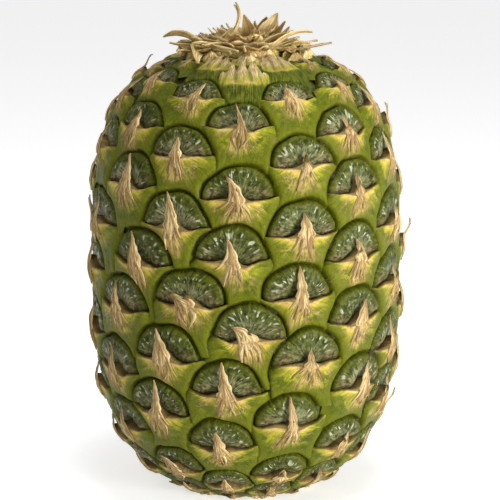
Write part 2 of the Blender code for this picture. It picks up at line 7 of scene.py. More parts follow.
import bpy
import numpy as np
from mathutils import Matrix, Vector


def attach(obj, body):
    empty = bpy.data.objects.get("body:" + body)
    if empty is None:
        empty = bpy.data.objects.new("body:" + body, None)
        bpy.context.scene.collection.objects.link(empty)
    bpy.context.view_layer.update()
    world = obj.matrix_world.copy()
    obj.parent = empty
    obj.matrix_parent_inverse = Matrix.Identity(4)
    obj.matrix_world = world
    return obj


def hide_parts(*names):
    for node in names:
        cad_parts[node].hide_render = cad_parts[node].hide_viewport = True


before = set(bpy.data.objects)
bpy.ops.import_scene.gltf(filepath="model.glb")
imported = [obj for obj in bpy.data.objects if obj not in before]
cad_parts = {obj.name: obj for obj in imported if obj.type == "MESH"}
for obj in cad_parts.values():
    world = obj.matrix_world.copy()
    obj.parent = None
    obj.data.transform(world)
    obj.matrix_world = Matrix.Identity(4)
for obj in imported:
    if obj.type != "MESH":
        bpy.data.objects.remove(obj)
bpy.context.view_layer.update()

MM = 0.001
TAU = 2 * math.pi

# Outline and lattice, the same values as the solids
GIRTH_RADIUS = 62.0 * MM
UPPER_HEIGHT = 91.6 * MM
LOWER_HEIGHT = 88.0 * MM
UPPER_FULLNESS = 3.15
LOWER_FULLNESS = 2.823
BASE_CUT = 1.8 * MM
SEAT_RADIUS = 24.0 * MM
OUTLINE_STEPS = 1200
COLUMNS = 15
ROW_PITCH = 0.402
FIRST_ROW = 1.489
ROW_SKEW = ROW_PITCH / 30
FIRST_ANGLE = -0.005
ROW_DRIFT = -0.022
SHRINK_POWER = 0.935
ROWS_ABOVE = 2
ROWS_BELOW = 9
SLIP_ROW = 4.0
SLIP_REACH = 4
SLIP_SIDE = 6.6
SLIP_SIDE_FADE = 1.3
SLIP_DOWN = 2.2
SLIP_DOWN_FADE = 1.6
# Unevenness of growth: turns round the girth, climb a millimetre, reach sideways and upwards in millimetres
WARP_WAVES = (
    (17, 0.21, 0.35, 0.30), (23, -0.26, 0.30, 0.28),
    (31, 0.34, 0.25, 0.25), (14, -0.12, 0.40, 0.35),
)
WARP_PHASE = 1.7
WARP_FADE = 14.0
WARP_ROUNDS = 4
# Eyes that sit off the lattice, as column and row: shift round the girth and up, in millimetres
SHIFTED_EYES = {
    (0, 0.0): (0.0, 4.5), (0, 1.0): (0.0, 3.2), (0, 3.0): (0.0, 1.7), (0, 6.0): (-2.4, -0.7),
    (0, 7.0): (0.0, -2.5), (1, -0.5): (-1.5, 4.0), (1, 0.5): (-3.4, 6.4), (1, 5.5): (0.7, -1.5),
    (1, 6.5): (0.0, -5.0), (2, 0.0): (5.5, -0.5), (2, 1.0): (-2.4, 0.4), (2, 2.0): (-1.5, 1.4),
    (2, 3.0): (-1.0, 1.6), (2, 4.0): (0.6, 1.9), (2, 5.0): (2.3, -1.6), (2, 6.0): (2.0, -2.4),
    (3, -0.5): (8.0, 1.5), (-1, -0.5): (1.0, 4.0), (-1, 0.5): (1.5, 4.8), (-1, 1.5): (0.0, 2.4),
    (-1, 2.5): (1.8, 0.8), (-1, 3.5): (1.0, 1.3), (-1, 5.5): (-3.3, 1.0), (-1, 6.5): (0.0, -4.5),
    (-2, 0.0): (-8.0, 0.5), (-2, 2.0): (3.4, 1.0), (-2, 3.0): (2.6, 2.4), (-2, 4.0): (2.2, 2.2),
    (-2, 5.0): (-1.5, 1.2),
}
LEAFY_RADIUS = 29.0 * MM
LEAFY_FRONT_EYES = ((0, 0), (0, -1), (1, -0.5), (-1, -0.5))

# Seeds of the random draws
EYE_SEED = 23
CROWN_SEED = 19
FRAY_SEED = 5

# One eye on the chart, in millimetres at the girth
DOME_RADIUS = 15.0
DOME_RISE = 0.2
DOME_FLATNESS = 0.96
ARM_LENGTH = 15.6
ARM_REACH = 18.0
ARM_DROP = 0.8
ARM_LIFT = 2.0
PEAK_REACH = 2.6
LIP_CREST = 1.6
LIP_END = 0.6
BRACT_BASE = 0.35
BRACT_FALL = 5.5
GROOVE_HEIGHT = -2.6
DOME_ARC = (-28.0, 208.0)
DOME_ANGLES = 76
DOME_RINGS = (0.3, 1.8, 3.8, 5.8, 7.8, 9.5, 10.8, 11.9, 12.8, 13.5, 14.1, 14.6, 15.2)
BRACT_COLUMNS = 45
BRACT_ROWS = 14
LEAFY_ROWS = 26
LEAFY_RISE = 27.0
LEAFY_SPAN = 7.6
# Lobes of a leafy bract: place across and share of the rise
LEAFY_LOBES = ((0.0, 1.0), (-7.4, 0.66), (7.6, 0.74), (-13.0, 0.3), (13.4, 0.3))
# Back of the ledge: rise over its edge and drop below its crest
LEDGE_WALL = ((-0.5, 9.0), (0.15, 2.4), (0.45, 1.3), (0.48, 0.7), (0.3, 0.2))
BRACT_DEPTH = 18.0
TUCK = 0.7
TIP_ROOT = 3.4
TIP_STEPS = 16
TIP_THICK = 0.6
FIBRE_THICK = 0.5
FIBRE_STEPS = 11
OPEN_GAP = 6.0

# Skin under the eyes, with its hollow underside as shares of the radius and heights
SKIN_AROUND = 180
SKIN_UP = 121
CLOSED_END = 0.02
UNDERSIDE = ((CLOSED_END, 3.9 * MM), (0.60, 3.9 * MM), (0.62, 0.0), (1.0, 0.0))

# Leaves of the crown
CORE_RADIUS = 20.0 * MM
CORE_PROFILE = ((0.02, 0.0), (18.8, 0.0), (19.8, 1.0), (18.0, 2.8), (13.0, 5.0), (6.0, 6.4), (0.02, 6.2))
LEAF_STEPS = 20
LEAF_ACROSS = 11
LEAF_TEAR = 0.55
LEAF_THICK = 0.60 * MM
LEAF_CLEARANCE = 2.0 * MM
BLADE_GUTTER = 0.36
BLADE_UPWARD = 1.2
# Rings of small scales: reach and level in millimetres, count
SCALE_RINGS = ((28.5, -1.3, 15), (25.0, -0.2, 13), (21.5, 1.4, 11))

# Tips seen in the photograph: column, row -> lean, rise, root width, in millimetres
TIPS = {
    (0, 1.0): (-1.5, 12.0, 2.6), (0, 2.0): (-3.5, 9.0, 4.4), (0, 3.0): (-0.8, 9.0, 4.2),
    (0, 4.0): (-6.0, 6.5, 5.0), (0, 5.0): (-0.8, 13.0, 4.6), (0, 6.0): (-2.0, 8.5, 5.6),
    (1, 0.5): (-0.6, 6.5, 4.2), (1, 1.5): (0.0, 4.5, 3.6), (1, 2.5): (-0.6, 7.5, 4.2),
    (1, 3.5): (-0.6, 12.5, 4.4), (1, 4.5): (0.6, 6.0, 5.0), (1, 5.5): (-0.6, 13.0, 3.4),
    (1, 6.5): (1.0, 5.0, 6.0), (-1, 0.5): (3.0, 8.5, 3.0), (-1, 1.5): (-0.3, 7.0, 4.6),
    (-1, 2.5): (-2.2, 13.0, 3.8), (-1, 3.5): (-6.5, 4.5, 4.6), (-1, 4.5): (-3.0, 12.0, 4.6),
    (-1, 5.5): (0.0, 14.0, 4.4), (-1, 6.5): (-6.5, 11.0, 3.6), (2, 0.0): (-0.5, 6.0, 3.6),
    (2, 1.0): (-1.5, 6.0, 4.0), (2, 2.0): (-0.5, 6.5, 4.0), (2, 3.0): (-0.5, 7.0, 4.6),
    (2, 4.0): (3.0, 8.0, 4.2), (2, 5.0): (2.0, 10.5, 4.4), (2, 6.0): (2.0, 7.0, 4.6),
    (-2, 1.0): (-1.0, 7.5, 4.2), (-2, 2.0): (1.5, 12.0, 4.2), (-2, 3.0): (-3.0, 12.0, 4.6),
    (-2, 4.0): (-0.5, 11.0, 4.4), (-2, 5.0): (1.0, 10.0, 4.2),
}

# Curled tips that stand off the outline in the photograph: column, row -> lean, rise, root width, lift
STRAY = {
    (-4, 3.0): (-2.0, 10.5, 3.4, 4.2), (-4, 4.0): (-1.0, 8.0, 3.8, 2.6), (4, 3.0): (3.0, 7.5, 4.4, 5.6),
    (4, 6.0): (4.0, 9.0, 3.8, 4.6), (4, 8.0): (3.0, 8.0, 4.4, 3.4), (-2, 8.0): (-4.0, 3.0, 4.4, 2.4),
    (-4, 0.0): (1.0, 9.0, 3.0, 6.5), (4, 1.0): (1.0, 7.0, 3.2, 4.5), (3, -0.5): (-2.0, 9.0, 4.6, 2.8),
}

# Dry tones: pale, middle, deep and root
TIP_TONES = ((0.84, 0.67, 0.36), (0.62, 0.44, 0.185), (0.29, 0.17, 0.06), (0.5, 0.4, 0.1))
LEAF_TONES = ((0.95, 0.78, 0.42), (0.74, 0.55, 0.22), (0.33, 0.20, 0.065), (0.34, 0.32, 0.05))
CORE_TONES = ((0.92, 0.80, 0.48), (0.74, 0.58, 0.27), (0.40, 0.27, 0.09), (0.4, 0.4, 0.06))
TIP_GRAIN = 14.0
LEAF_GRAIN = 20.0

# Photograph's viewpoint, fitted to the outline and the eyes
VIEW_DISTANCE = 0.62
VIEW_ELEVATION = 0.236
FOCAL_PIXELS = 1515.0
FRAME_PIXELS = 500.0
AXIS_PIXEL = (245.8, 276.0)
SENSOR_WIDTH = 36.0

# Studio: floor, sky and lights as name, place, size and power, in metres and watts
FLOOR_REACH = 6.0
FLOOR_GLOW = 0.30
SKY_LIGHT = 0.31
LIGHT_TARGET = (0.0, 0.0, 0.10)
LIGHTS = (
    ("key", (0.92, -0.76, 0.13), 0.32, 17.4),
    ("left", (-0.45, -0.80, 0.80), 0.35, 1.4),
    ("top", (0.10, -0.15, 1.15), 0.35, 4.6),
)


def smooth(low, high, value):
    """Smooth step from 0 at low to 1 at high."""
    share = np.clip((value - low) / (high - low), 0.0, 1.0)
    return share * share * (3 - 2 * share)


def ripple(x, y, seed, waves=5):
    """Soft pseudo-noise between about -1 and 1."""
    rng = random.Random(int(seed * 1e6) % 1000003)
    total = 0.0
    for _ in range(waves):
        turn = rng.uniform(0, TAU)
        rate = rng.uniform(0.7, 1.5)
        total = total + np.sin(rate * (x * math.cos(turn) + y * math.sin(turn)) + rng.uniform(0, TAU))
    return total / waves * 1.4


class Outline:
    """The outline of the body, looked up by the chart height in millimetres."""

    def __init__(self):
        turn = np.linspace(0.0, math.pi / 2, OUTLINE_STEPS)
        upper = self.half(turn, UPPER_HEIGHT, UPPER_FULLNESS)
        lower = self.half(turn, LOWER_HEIGHT, LOWER_FULLNESS)
        lower[:, 1] *= -1
        path = np.vstack([lower[:0:-1], upper])
        floor = -LOWER_HEIGHT + BASE_CUT
        keep = (path[:, 1] > floor) & ((path[:, 1] < 0) | (path[:, 0] > SEAT_RADIUS))
        path = path[keep]
        step = np.linalg.norm(np.diff(path, axis=0), axis=1)
        middle = (path[1:, 0] + path[:-1, 0]) / 2 / GIRTH_RADIUS
        chart = np.concatenate([[0.0], np.cumsum(step / middle**SHRINK_POWER)])
        girth = np.interp(0.0, path[:, 1], chart)
        tangent = np.gradient(path, axis=0)
        tangent /= np.linalg.norm(tangent, axis=1)[:, None]
        self.chart = (chart - girth) / MM
        self.radius = path[:, 0]
        self.level = path[:, 1] - floor
        self.out = tangent[:, 1]
        self.up = -tangent[:, 0]
        self.low = self.chart[0]
        self.high = self.chart[-1]

    @staticmethod
    def half(turn, height, fullness):
        across = np.cos(turn).clip(0, None) ** (2 / fullness)
        along = np.sin(turn).clip(0, None) ** (2 / fullness)
        return np.stack([GIRTH_RADIUS * across, height * along], axis=1)

    def scale(self, y):
        return np.interp(y, self.chart, self.radius) / GIRTH_RADIUS

    def warp(self, x, y):
        """Chart positions after the unevenness of growth."""
        fade = np.clip(np.minimum(y - self.low, self.high - y) / WARP_FADE, 0.0, 1.0)
        for number, (turns, rise, side, lift) in enumerate(WARP_WAVES):
            phase = turns * x * MM / GIRTH_RADIUS + rise * y + WARP_PHASE * number
            x, y = x + fade * side * np.sin(phase), y + fade * lift * np.cos(phase)
        return x, y

    def points(self, x, y, height):
        """Chart positions and relief heights in millimetres, as points in space."""
        x, y = self.warp(np.asarray(x, float), np.asarray(y, float))
        inside = np.clip(y, self.low, self.high)
        radius = np.interp(inside, self.chart, self.radius)
        level = np.interp(inside, self.chart, self.level)
        out = np.interp(inside, self.chart, self.out)
        up = np.interp(inside, self.chart, self.up)
        size = radius / GIRTH_RADIUS
        past = (y - inside) * MM * size
        lift = np.asarray(height, float) * MM * size**SHRINK_POWER
        lift = np.where(up < 0.0, np.minimum(lift, level / np.maximum(-up, 1e-3)), lift)
        ring = radius + lift * out - past * up
        level = level + lift * up + past * out
        angle = np.asarray(x, float) * MM / GIRTH_RADIUS
        ring = np.maximum(ring, 0.0)
        return np.stack([ring * np.sin(angle), -ring * np.cos(angle), np.maximum(level, 0.0)], axis=-1)


OUTLINE = Outline()
CHART_WIDTH = TAU * GIRTH_RADIUS / MM


def eye_positions():
    """Chart positions of the eyes in millimetres, with their column and row."""
    girth = GIRTH_RADIUS / MM
    eyes = []
    for column in range(COLUMNS):
        signed = column if column <= COLUMNS // 2 else column - COLUMNS
        for count in range(-ROWS_ABOVE, ROWS_BELOW):
            row = count + (0.5 if signed % 2 else 0.0)
            x = girth * (FIRST_ANGLE + signed * TAU / COLUMNS + ROW_DRIFT * row)
            y = girth * (FIRST_ROW - ROW_PITCH * row - ROW_SKEW * signed)
            if abs(row - signed / 2 - SLIP_ROW) < 0.1 and abs(signed) <= SLIP_REACH:
                fade = 1.0 - max(0, abs(signed) - 2) / SLIP_REACH
                x += fade * (SLIP_SIDE - SLIP_SIDE_FADE * signed)
                y -= fade * (SLIP_DOWN - SLIP_DOWN_FADE * signed)
            side, lift = SHIFTED_EYES.get((signed, row), (0.0, 0.0))
            x, y = x + side, y + lift
            if OUTLINE.low - 6.0 < y < OUTLINE.high + 10.0:
                narrow = OUTLINE.scale(y) * GIRTH_RADIUS < LEAFY_RADIUS
                seed_x, seed_y = x, y
                for _ in range(WARP_ROUNDS):
                    grown_x, grown_y = OUTLINE.warp(seed_x, seed_y)
                    seed_x, seed_y = seed_x + x - grown_x, seed_y + y - grown_y
                eyes.append((seed_x, seed_y, signed, row, narrow or (signed, row) in LEAFY_FRONT_EYES))
    return eyes


EYES = eye_positions()
EYE_XY = np.array([(e[0], e[1]) for e in EYES])


def apart(x, other):
    """Shortest signed distance round the girth."""
    return (x - other + CHART_WIDTH / 2) % CHART_WIDTH - CHART_WIDTH / 2


def dome_gap(x, y, skip):
    """Distance from chart positions to the nearest dome edge of the other eyes."""
    best = np.full(np.shape(x), 50.0)
    ex, ey = EYE_XY[skip]
    for index, (ox, oy) in enumerate(EYE_XY):
        if index == skip or EYES[index][4] or abs(apart(ox, ex)) > 60 or abs(oy - ey) > 60:
            continue
        up = (y - oy - DOME_RISE) / DOME_FLATNESS
        best = np.minimum(best, np.hypot(apart(x, ox), up) - DOME_RADIUS)
    return best


def ledge_line(x):
    """Height of the ledge's edge on the chart."""
    return ARM_LIFT * np.minimum(1.0, np.abs(x) / ARM_LENGTH) ** 2 - ARM_DROP


def ledge_height(x):
    """Relief of the ledge's crest."""
    share = np.minimum(1.0, np.abs(x) / ARM_LENGTH)
    return LIP_CREST + (LIP_END - LIP_CREST) * share**1.3


class Batch:
    """Collects patches for one object: per vertex a place and seed (eye) and traits (look)."""

    def __init__(self, name):
        self.name = name
        self.verts, self.faces, self.eye, self.look = [], [], [], []
        self.count = 0

    def add_grid(self, points, eye, look, flip=False, closed=False):
        """A grid of points (rows, columns, 3)."""
        rows, columns = points.shape[:2]
        index = np.arange(rows * columns).reshape(rows, columns) + self.count
        if closed:
            index = np.concatenate([index, index[:, :1]], axis=1)
        quads = np.stack([index[:-1, :-1], index[:-1, 1:], index[1:, 1:], index[1:, :-1]], axis=-1)
        quads = quads.reshape(-1, 4)
        if flip:
            quads = quads[:, ::-1]
        self.faces.append(quads)
        self.verts.append(points.reshape(-1, 3))
        self.eye.append(np.broadcast_to(eye, points.shape).reshape(-1, 3))
        self.look.append(np.broadcast_to(look, points.shape).reshape(-1, 3))
        self.count += rows * columns

    def build(self, material):
        """Make the object."""
        verts = np.concatenate(self.verts)
        faces = np.concatenate(self.faces)
        mesh = bpy.data.meshes.new(self.name)
        mesh.from_pydata(verts.tolist(), [], faces.tolist())
        for name, rows in (("eye", self.eye), ("look", self.look)):
            layer = mesh.attributes.new(name, "FLOAT_VECTOR", "POINT")
            layer.data.foreach_set("vector", np.concatenate(rows).astype(np.float32).ravel())
        mesh.materials.append(material)
        mesh.polygons.foreach_set("use_smooth", [True] * len(mesh.polygons))
        thing = bpy.data.objects.new(self.name, mesh)
        bpy.context.scene.collection.objects.link(thing)
        return thing


def three(a, b, c):
    """Stack three arrays, spreading single numbers."""
    shape = np.broadcast(a, b, c).shape
    return np.stack([np.broadcast_to(np.asarray(v, float), shape) for v in (a, b, c)], axis=-1)


def add_dome(batch, index, traits):
    """The pillow of one eye, with short ridges round its rim."""
    ex, ey = EYE_XY[index]
    seed = traits["seed"]
    turn = np.radians(np.linspace(*DOME_ARC, DOME_ANGLES))[None, :]
    ring = np.array(DOME_RINGS)[:, None]
    x = ring * np.cos(turn)
    up = ring * np.sin(turn)
    share = ring / DOME_RADIUS
    edge = smooth(0.89, 1.0, share)
    wave = np.cos(traits["ridges"] * turn + 1.3 * np.sin(3 * turn + seed * 40) + 2.5 * share)
    ridge = smooth(0.46, 0.70, share) * (1 - smooth(0.82, 0.95, share))
    ridge = ridge * (0.20 + 0.16 * np.sin(5 * turn + seed * 70))
    pillow = -1.5 + 1.75 * smooth(0.05, 0.66, share)
    lumps = 0.34 * ripple(x * 0.55, up * 0.55, seed) + 0.16 * ripple(x * 1.3, up * 1.3, seed + 0.4)
    y = DOME_RISE + DOME_FLATNESS * up
    foot = -1.1 * np.exp(-((np.maximum(y - ledge_line(x), 0.0) / 2.0) ** 2))
    height = (pillow + lumps + foot) * (1 - edge) + ridge * wave + (GROOVE_HEIGHT - 0.35) * edge
    points = OUTLINE.points(ex + x, ey + y, height)
    look = three(traits["frost"], traits["brown"], 0.0)
    batch.add_grid(points, three(x, up, seed), look, flip=True)


def bract_height(x, y, gap, seed):
    """Relief of a bract below its ledge."""
    line = ledge_line(x)
    crest = ledge_height(x)
    body = BRACT_BASE + (crest - BRACT_BASE) * np.exp(-(((line - y) / BRACT_FALL) ** 2))
    body = body + 0.5 * np.exp(-(((y + 2.5) / 4.6) ** 2) - (x / 4.2) ** 2)
    body = body + 0.22 * ripple(x * 0.5, y * 0.5, seed + 0.37)
    body = body + 0.10 * ripple(x * 1.4, y * 0.8, seed + 0.71)
    body = body - 2.0 * smooth(13.4, ARM_REACH, np.abs(x))
    rise = np.sin(np.clip((gap + TUCK) / 2.3, 0.0, 1.0) * math.pi / 2)
    return (GROOVE_HEIGHT - 0.3) * (1 - rise) + body * rise


def add_bract(batch, index, traits):
    """The swollen scale under one eye, with a rolled ledge on top or a leaf in its place."""
    ex, ey = EYE_XY[index]
    leafy = EYES[index][4]
    seed = traits["seed"]
    spread = np.linspace(-1.0, 1.0, BRACT_COLUMNS)
    x = np.sign(spread) * np.abs(spread) ** 1.15 * ARM_REACH
    top = ledge_line(x) + traits["peak"] * np.exp(-np.abs(x) / PEAK_REACH)
    top = top + 0.30 * ripple(x * 0.7, x * 0, seed + 0.11) + 0.16 * ripple(x * 2.1, x * 0, seed + 0.19)
    lobes = np.zeros_like(x)
    if leafy:
        lean = traits["curl"] * 2.0
        rise = LEAFY_RISE * (0.8 + 0.4 * traits["frost"])
        edge = np.zeros_like(x)
        for place, tall in LEAFY_LOBES:
            share = np.clip(1 - np.abs(x - lean - place) / LEAFY_SPAN, 0.0, 1.0)
            edge = np.maximum(edge, tall * share**1.15)
            lobes = np.maximum(lobes, smooth(0.40, 0.85, share))
        grown = rise * edge * (1 + 0.05 * ripple(x * 2.6, x * 0, seed + 0.5))
        top = np.minimum(top + grown, OUTLINE.high + 2.0 - ey)
    depth = np.arange(0.0, BRACT_DEPTH, 0.2)[:, None]
    start = np.minimum(top, ledge_line(x) + 4.0)
    probe = dome_gap(ex + x[None, :] + 0 * depth, ey + start[None, :] - 1.0 - depth, index)
    inside = probe < -TUCK
    first = np.where(inside.any(axis=0), inside.argmax(axis=0), len(depth) - 1)
    low = start - 1.0 - depth[first, 0]
    low = np.maximum(low, OUTLINE.low - ey - 2.0)
    share = np.linspace(0.0, 1.0, LEAFY_ROWS if leafy else BRACT_ROWS)
    share = 0.5 * (share + (1 - np.cos(share * math.pi)) / 2)
    y = top[None, :] + (low - top)[None, :] * share[:, None]
    xx = np.broadcast_to(x, y.shape)
    gap = dome_gap(ex + xx, ey + y, index)
    height = bract_height(xx, np.minimum(y, ledge_line(xx)), gap, seed)
    peak = np.maximum(y - ledge_line(xx), 0.0)
    height = height + peak * 0.12
    if leafy:
        height = height - 1.3 * (1 - lobes)[None, :] * smooth(-1.0, 3.0, y - ledge_line(xx))
    crest = height[0]
    lift, drop = np.array(LEDGE_WALL).T[..., None]
    wall = np.maximum(crest - drop * (0.6 if leafy else 1.0), GROOVE_HEIGHT - 0.6)
    all_x = np.vstack([np.broadcast_to(x, wall.shape), xx])
    all_y = np.vstack([top + lift, y])
    all_h = np.vstack([wall, height])
    all_gap = np.vstack([np.broadcast_to(gap[:1], wall.shape) + 3.0, gap])
    points = OUTLINE.points(ex + all_x, ey + all_y, all_h)
    # For leafy bracts the dry channel holds the gaps between lobes, which the bract material darkens as
    # painted shade.
    dry = 1 - np.broadcast_to(lobes, all_gap.shape) if leafy else traits["dry"]
    batch.add_grid(points, three(all_x, all_y, seed), three(all_gap, dry, 1.0 if leafy else 0.0))


def ribbon(batch, index, path, width, thick, seed, kind, camber, steps_across):
    """A thin leathery ribbon on the chart: path rows are x, y, height in millimetres."""
    ex, ey = EYE_XY[index]
    path = np.asarray(path, float)
    way = np.gradient(path[:, :2], axis=0)
    way /= np.maximum(np.linalg.norm(way, axis=1), 1e-6)[:, None]
    side = np.stack([way[:, 1], -way[:, 0]], axis=1)
    across = np.linspace(-1.0, 1.0, steps_across)
    along = np.linspace(0.0, 1.0, len(path))
    sides = []
    for sign, order in ((1.0, across[None, :]), (-1.0, across[None, ::-1])):
        x = path[:, 0:1] + side[:, 0:1] * order * width[:, None]
        y = path[:, 1:2] + side[:, 1:2] * order * width[:, None]
        bend = camber * width[:, None] * (1 - np.abs(order) ** 1.4)
        edge = thick * (1 - 0.75 * np.abs(order) ** 3)
        h = path[:, 2:3] + bend + sign * edge * 0.5
        sides.append((x, y, h, three(order, along[:, None], seed)))
    x, y, h, eye = (np.concatenate(pair, axis=1) for pair in zip(*sides))
    points = OUTLINE.points(ex + x, ey + y, h)
    batch.add_grid(points, eye, three(kind, 0.0, 1.0), closed=True)
    cap_ends(batch, x.shape[1], len(path))


def cap_ends(batch, columns, rows):
    """Close both ends of the tube that was added last."""
    start = batch.count - columns * rows
    half = columns // 2
    for first, flip in ((start, False), (start + columns * (rows - 1), True)):
        quads = []
        for step in range(half - 1):
            quad = [first + step, first + step + 1, first + columns - 2 - step, first + columns - 1 - step]
            quads.append(quad if flip else quad[::-1])
        batch.faces.append(np.array(quads))


def bezier(start, bend, end, share):
    """Points on a curve through three places."""
    start, bend, end = (np.asarray(place, float)[None, :] for place in (start, bend, end))
    share = share[:, None]
    return start * (1 - share) ** 2 + bend * 2 * share * (1 - share) + end * share**2


def tip_path(traits, share):
    """The middle line of a dry tip from the ledge to its point."""
    lean, rise, _ = traits["tip"]
    x = lean * share**1.6 + traits["curl"] * np.sin(share * math.pi) * 0.7
    y = rise * share
    if abs(lean) > 4.5:
        y = y - rise * 0.25 * share**3
    return x, y


def add_tip(batch, index, traits):
    """The dry papery spike of one eye and the fibres that run down its bract."""
    seed = traits["seed"]
    rng = random.Random(int(seed * 1e6))
    _, rise, width = traits["tip"]
    out = traits["out"]
    y = np.linspace(-TIP_ROOT, rise, TIP_STEPS)
    free = np.clip(y / rise, 0.0, 1.0)
    x, bent = tip_path(traits, free)
    bent = np.where(y > 0, bent, y)
    ground = bract_height(x * 0, np.minimum(y, 0.0), OPEN_GAP, seed)
    hug = smooth(0.2, 0.95, free)
    height = ground * (1 - hug) + out * hug + 0.05
    half = width * 0.5 * (0.16 + 0.88 * smooth(-3.6, 0.6, y))
    half = half * np.where(y > 0, (1 - free) ** 0.85 * (1 - 0.25 * free) + 0.07, 1.0)
    half = half * (1 + 0.16 * np.sin(y * 1.7 + seed * 60))
    middle = np.stack([x, bent, height], axis=1)
    ribbon(batch, index, middle, half, TIP_THICK, seed, 0.0, 0.22, 5)
    for number in range(traits["fibres"]):
        across = (number + rng.uniform(0.2, 0.8)) / traits["fibres"] * 2 - 1
        reach = rng.uniform(0.45, 0.97)
        root_x = across * rng.uniform(0.8, 1.4) * width
        root_y = -rng.uniform(3.0, 8.0) * (1 - 0.30 * abs(across))
        end_x, end_y = tip_path(traits, np.array(reach))
        bend = (across * width * 0.30, 0.6)
        place = bezier((root_x, root_y), bend, (end_x, end_y), np.linspace(0, 1, FIBRE_STEPS))
        level = bract_height(place[:, 0], np.minimum(place[:, 1], 0.0), OPEN_GAP, seed)
        over = np.clip(place[:, 1] / rise, 0.0, 1.0)
        hug = smooth(0.2, 0.95, over)
        level = level * (1 - hug) + out * hug + 0.30 + rng.uniform(-0.1, 0.25)
        thin = rng.uniform(0.26, 0.60) * np.sin(np.linspace(0.22, math.pi - 0.12, FIBRE_STEPS)) ** 0.7
        ribbon(batch, index, np.column_stack([place, level]), thin, FIBRE_THICK, rng.random(), 1.0, 0.7, 3)
    for number, (begin, end, bow, wide) in enumerate(traits["legs"]):
        share = np.linspace(0.0, 1.0, FIBRE_STEPS)
        lx = begin[0] + (end[0] - begin[0]) * share + bow * np.sin(share * math.pi)
        ly = begin[1] + (end[1] - begin[1]) * share
        lh = bract_height(lx, np.minimum(ly, ledge_line(lx)), OPEN_GAP, seed) + 0.2
        lw = wide * (0.45 + 0.55 * np.sin(np.clip(share * 1.1 + 0.12, 0, 1) * math.pi)) * 0.5
        leg = np.stack([lx, ly, lh], axis=1)
        ribbon(batch, index, leg, lw, FIBRE_THICK, (seed + number * 0.37) % 1.0, 1.0, 0.7, 3)


def eye_traits():
    """Random but repeatable traits of every eye."""
    rng = random.Random(EYE_SEED)
    traits = []
    for _, _, column, row, _ in EYES:
        seed = rng.random()
        stray = STRAY.get((column, row))
        tip = stray[:3] if stray else TIPS.get((column, row))
        if tip is None:
            tip = (rng.uniform(-2.5, 2.5), rng.uniform(5.5, 12.5), rng.uniform(3.2, 5.0))
        tip = (tip[0], tip[1] + 1.0, tip[2] + 1.0)
        # Dry strips down the bract: begin, end, bow, width
        legs = []
        if rng.random() < 0.4:
            reach = rng.uniform(6.5, 8.5)
            wide = rng.uniform(1.5, 2.4)
            legs.append(((-0.9, 0.2), (-0.3, -reach), -wide, 1.3))
            legs.append(((0.9, 0.2), (0.3, -reach), wide, 1.3))
        else:
            for side in (-1, 1):
                if rng.random() < 0.8:
                    out = rng.uniform(2.4, 5.0)
                    reach = rng.uniform(5.0, 8.5)
                    bow = side * rng.uniform(-0.5, 0.9)
                    legs.append(((side * 0.8, 0.3), (side * out, -reach), bow, rng.uniform(1.0, 1.9)))
        traits.append({
            "seed": seed, "tip": tip, "legs": legs,
            "fibres": rng.randint(4, 6),
            "ridges": rng.randint(25, 31),
            "frost": rng.uniform(0.35, 1.0),
            "brown": rng.random(),
            "dry": rng.uniform(0.5, 1.0),
            "peak": rng.uniform(3.4, 5.6),
            "curl": rng.uniform(-1.0, 1.0),
            "out": stray[3] if stray else rng.uniform(0.7, 1.6) if abs(column) < 3 else 0.5,
        })
    return traits


def node_tools(material):
    """Short helpers that add nodes to a material."""
    tree = material.node_tree
    nodes, links = tree.nodes, tree.links

    def put(socket, value):
        if value is None:
            return
        if hasattr(value, "is_output"):
            links.new(value, socket)
        else:
            socket.default_value = value

    def calc(operation, a, b=None, clamp=False):
        node = nodes.new("ShaderNodeMath")
        node.operation = operation
        node.use_clamp = clamp
        put(node.inputs[0], a)
        put(node.inputs[1], b)
        return node.outputs[0]

    def plus(a, b):
        return calc("ADD", a, b)

    def minus(a, b):
        return calc("SUBTRACT", a, b)

    def times(a, b, clamp=False):
        return calc("MULTIPLY", a, b, clamp)

    def step(low, high, value, start=0.0, end=1.0):
        node = nodes.new("ShaderNodeMapRange")
        node.interpolation_type = "SMOOTHSTEP"
        put(node.inputs["Value"], value)
        put(node.inputs["From Min"], low)
        put(node.inputs["From Max"], high)
        put(node.inputs["To Min"], start)
        put(node.inputs["To Max"], end)
        return node.outputs[0]

    def mix(share, first, second, mode="MIX"):
        node = nodes.new("ShaderNodeMix")
        node.data_type = "RGBA"
        node.blend_type = mode
        put(node.inputs["Factor"], share)
        put(node.inputs[6], first if hasattr(first, "is_output") else (*first, 1.0))
        put(node.inputs[7], second if hasattr(second, "is_output") else (*second, 1.0))
        return node.outputs[2]

    def noise(vector, scale, detail=3.0, rough=0.55):
        node = nodes.new("ShaderNodeTexNoise")
        put(node.inputs["Vector"], vector)
        put(node.inputs["Scale"], scale)
        put(node.inputs["Detail"], detail)
        put(node.inputs["Roughness"], rough)
        return node.outputs["Fac"]

    def field(x, x_rate, y, y_rate, z, detail, rough=0.55):
        node = nodes.new("ShaderNodeCombineXYZ")
        put(node.inputs[0], times(x, x_rate))
        put(node.inputs[1], times(y, y_rate))
        put(node.inputs[2], z)
        return noise(node.outputs[0], 1.0, detail, rough)

    def attribute(name):
        node = nodes.new("ShaderNodeAttribute")
        node.attribute_name = name
        parts = nodes.new("ShaderNodeSeparateXYZ")
        links.new(node.outputs["Vector"], parts.inputs[0])
        return parts.outputs

    def bump(height, strength, distance):
        node = nodes.new("ShaderNodeBump")
        node.inputs["Strength"].default_value = strength
        node.inputs["Distance"].default_value = distance
        links.new(height, node.inputs["Height"])
        return node.outputs[0]

    shader = nodes["Principled BSDF"]
    return noise, put, step, mix, bump, shader, field, attribute, calc, plus, minus, times


def new_material(name):
    material = bpy.data.materials.new(name)
    material.use_nodes = True
    return material


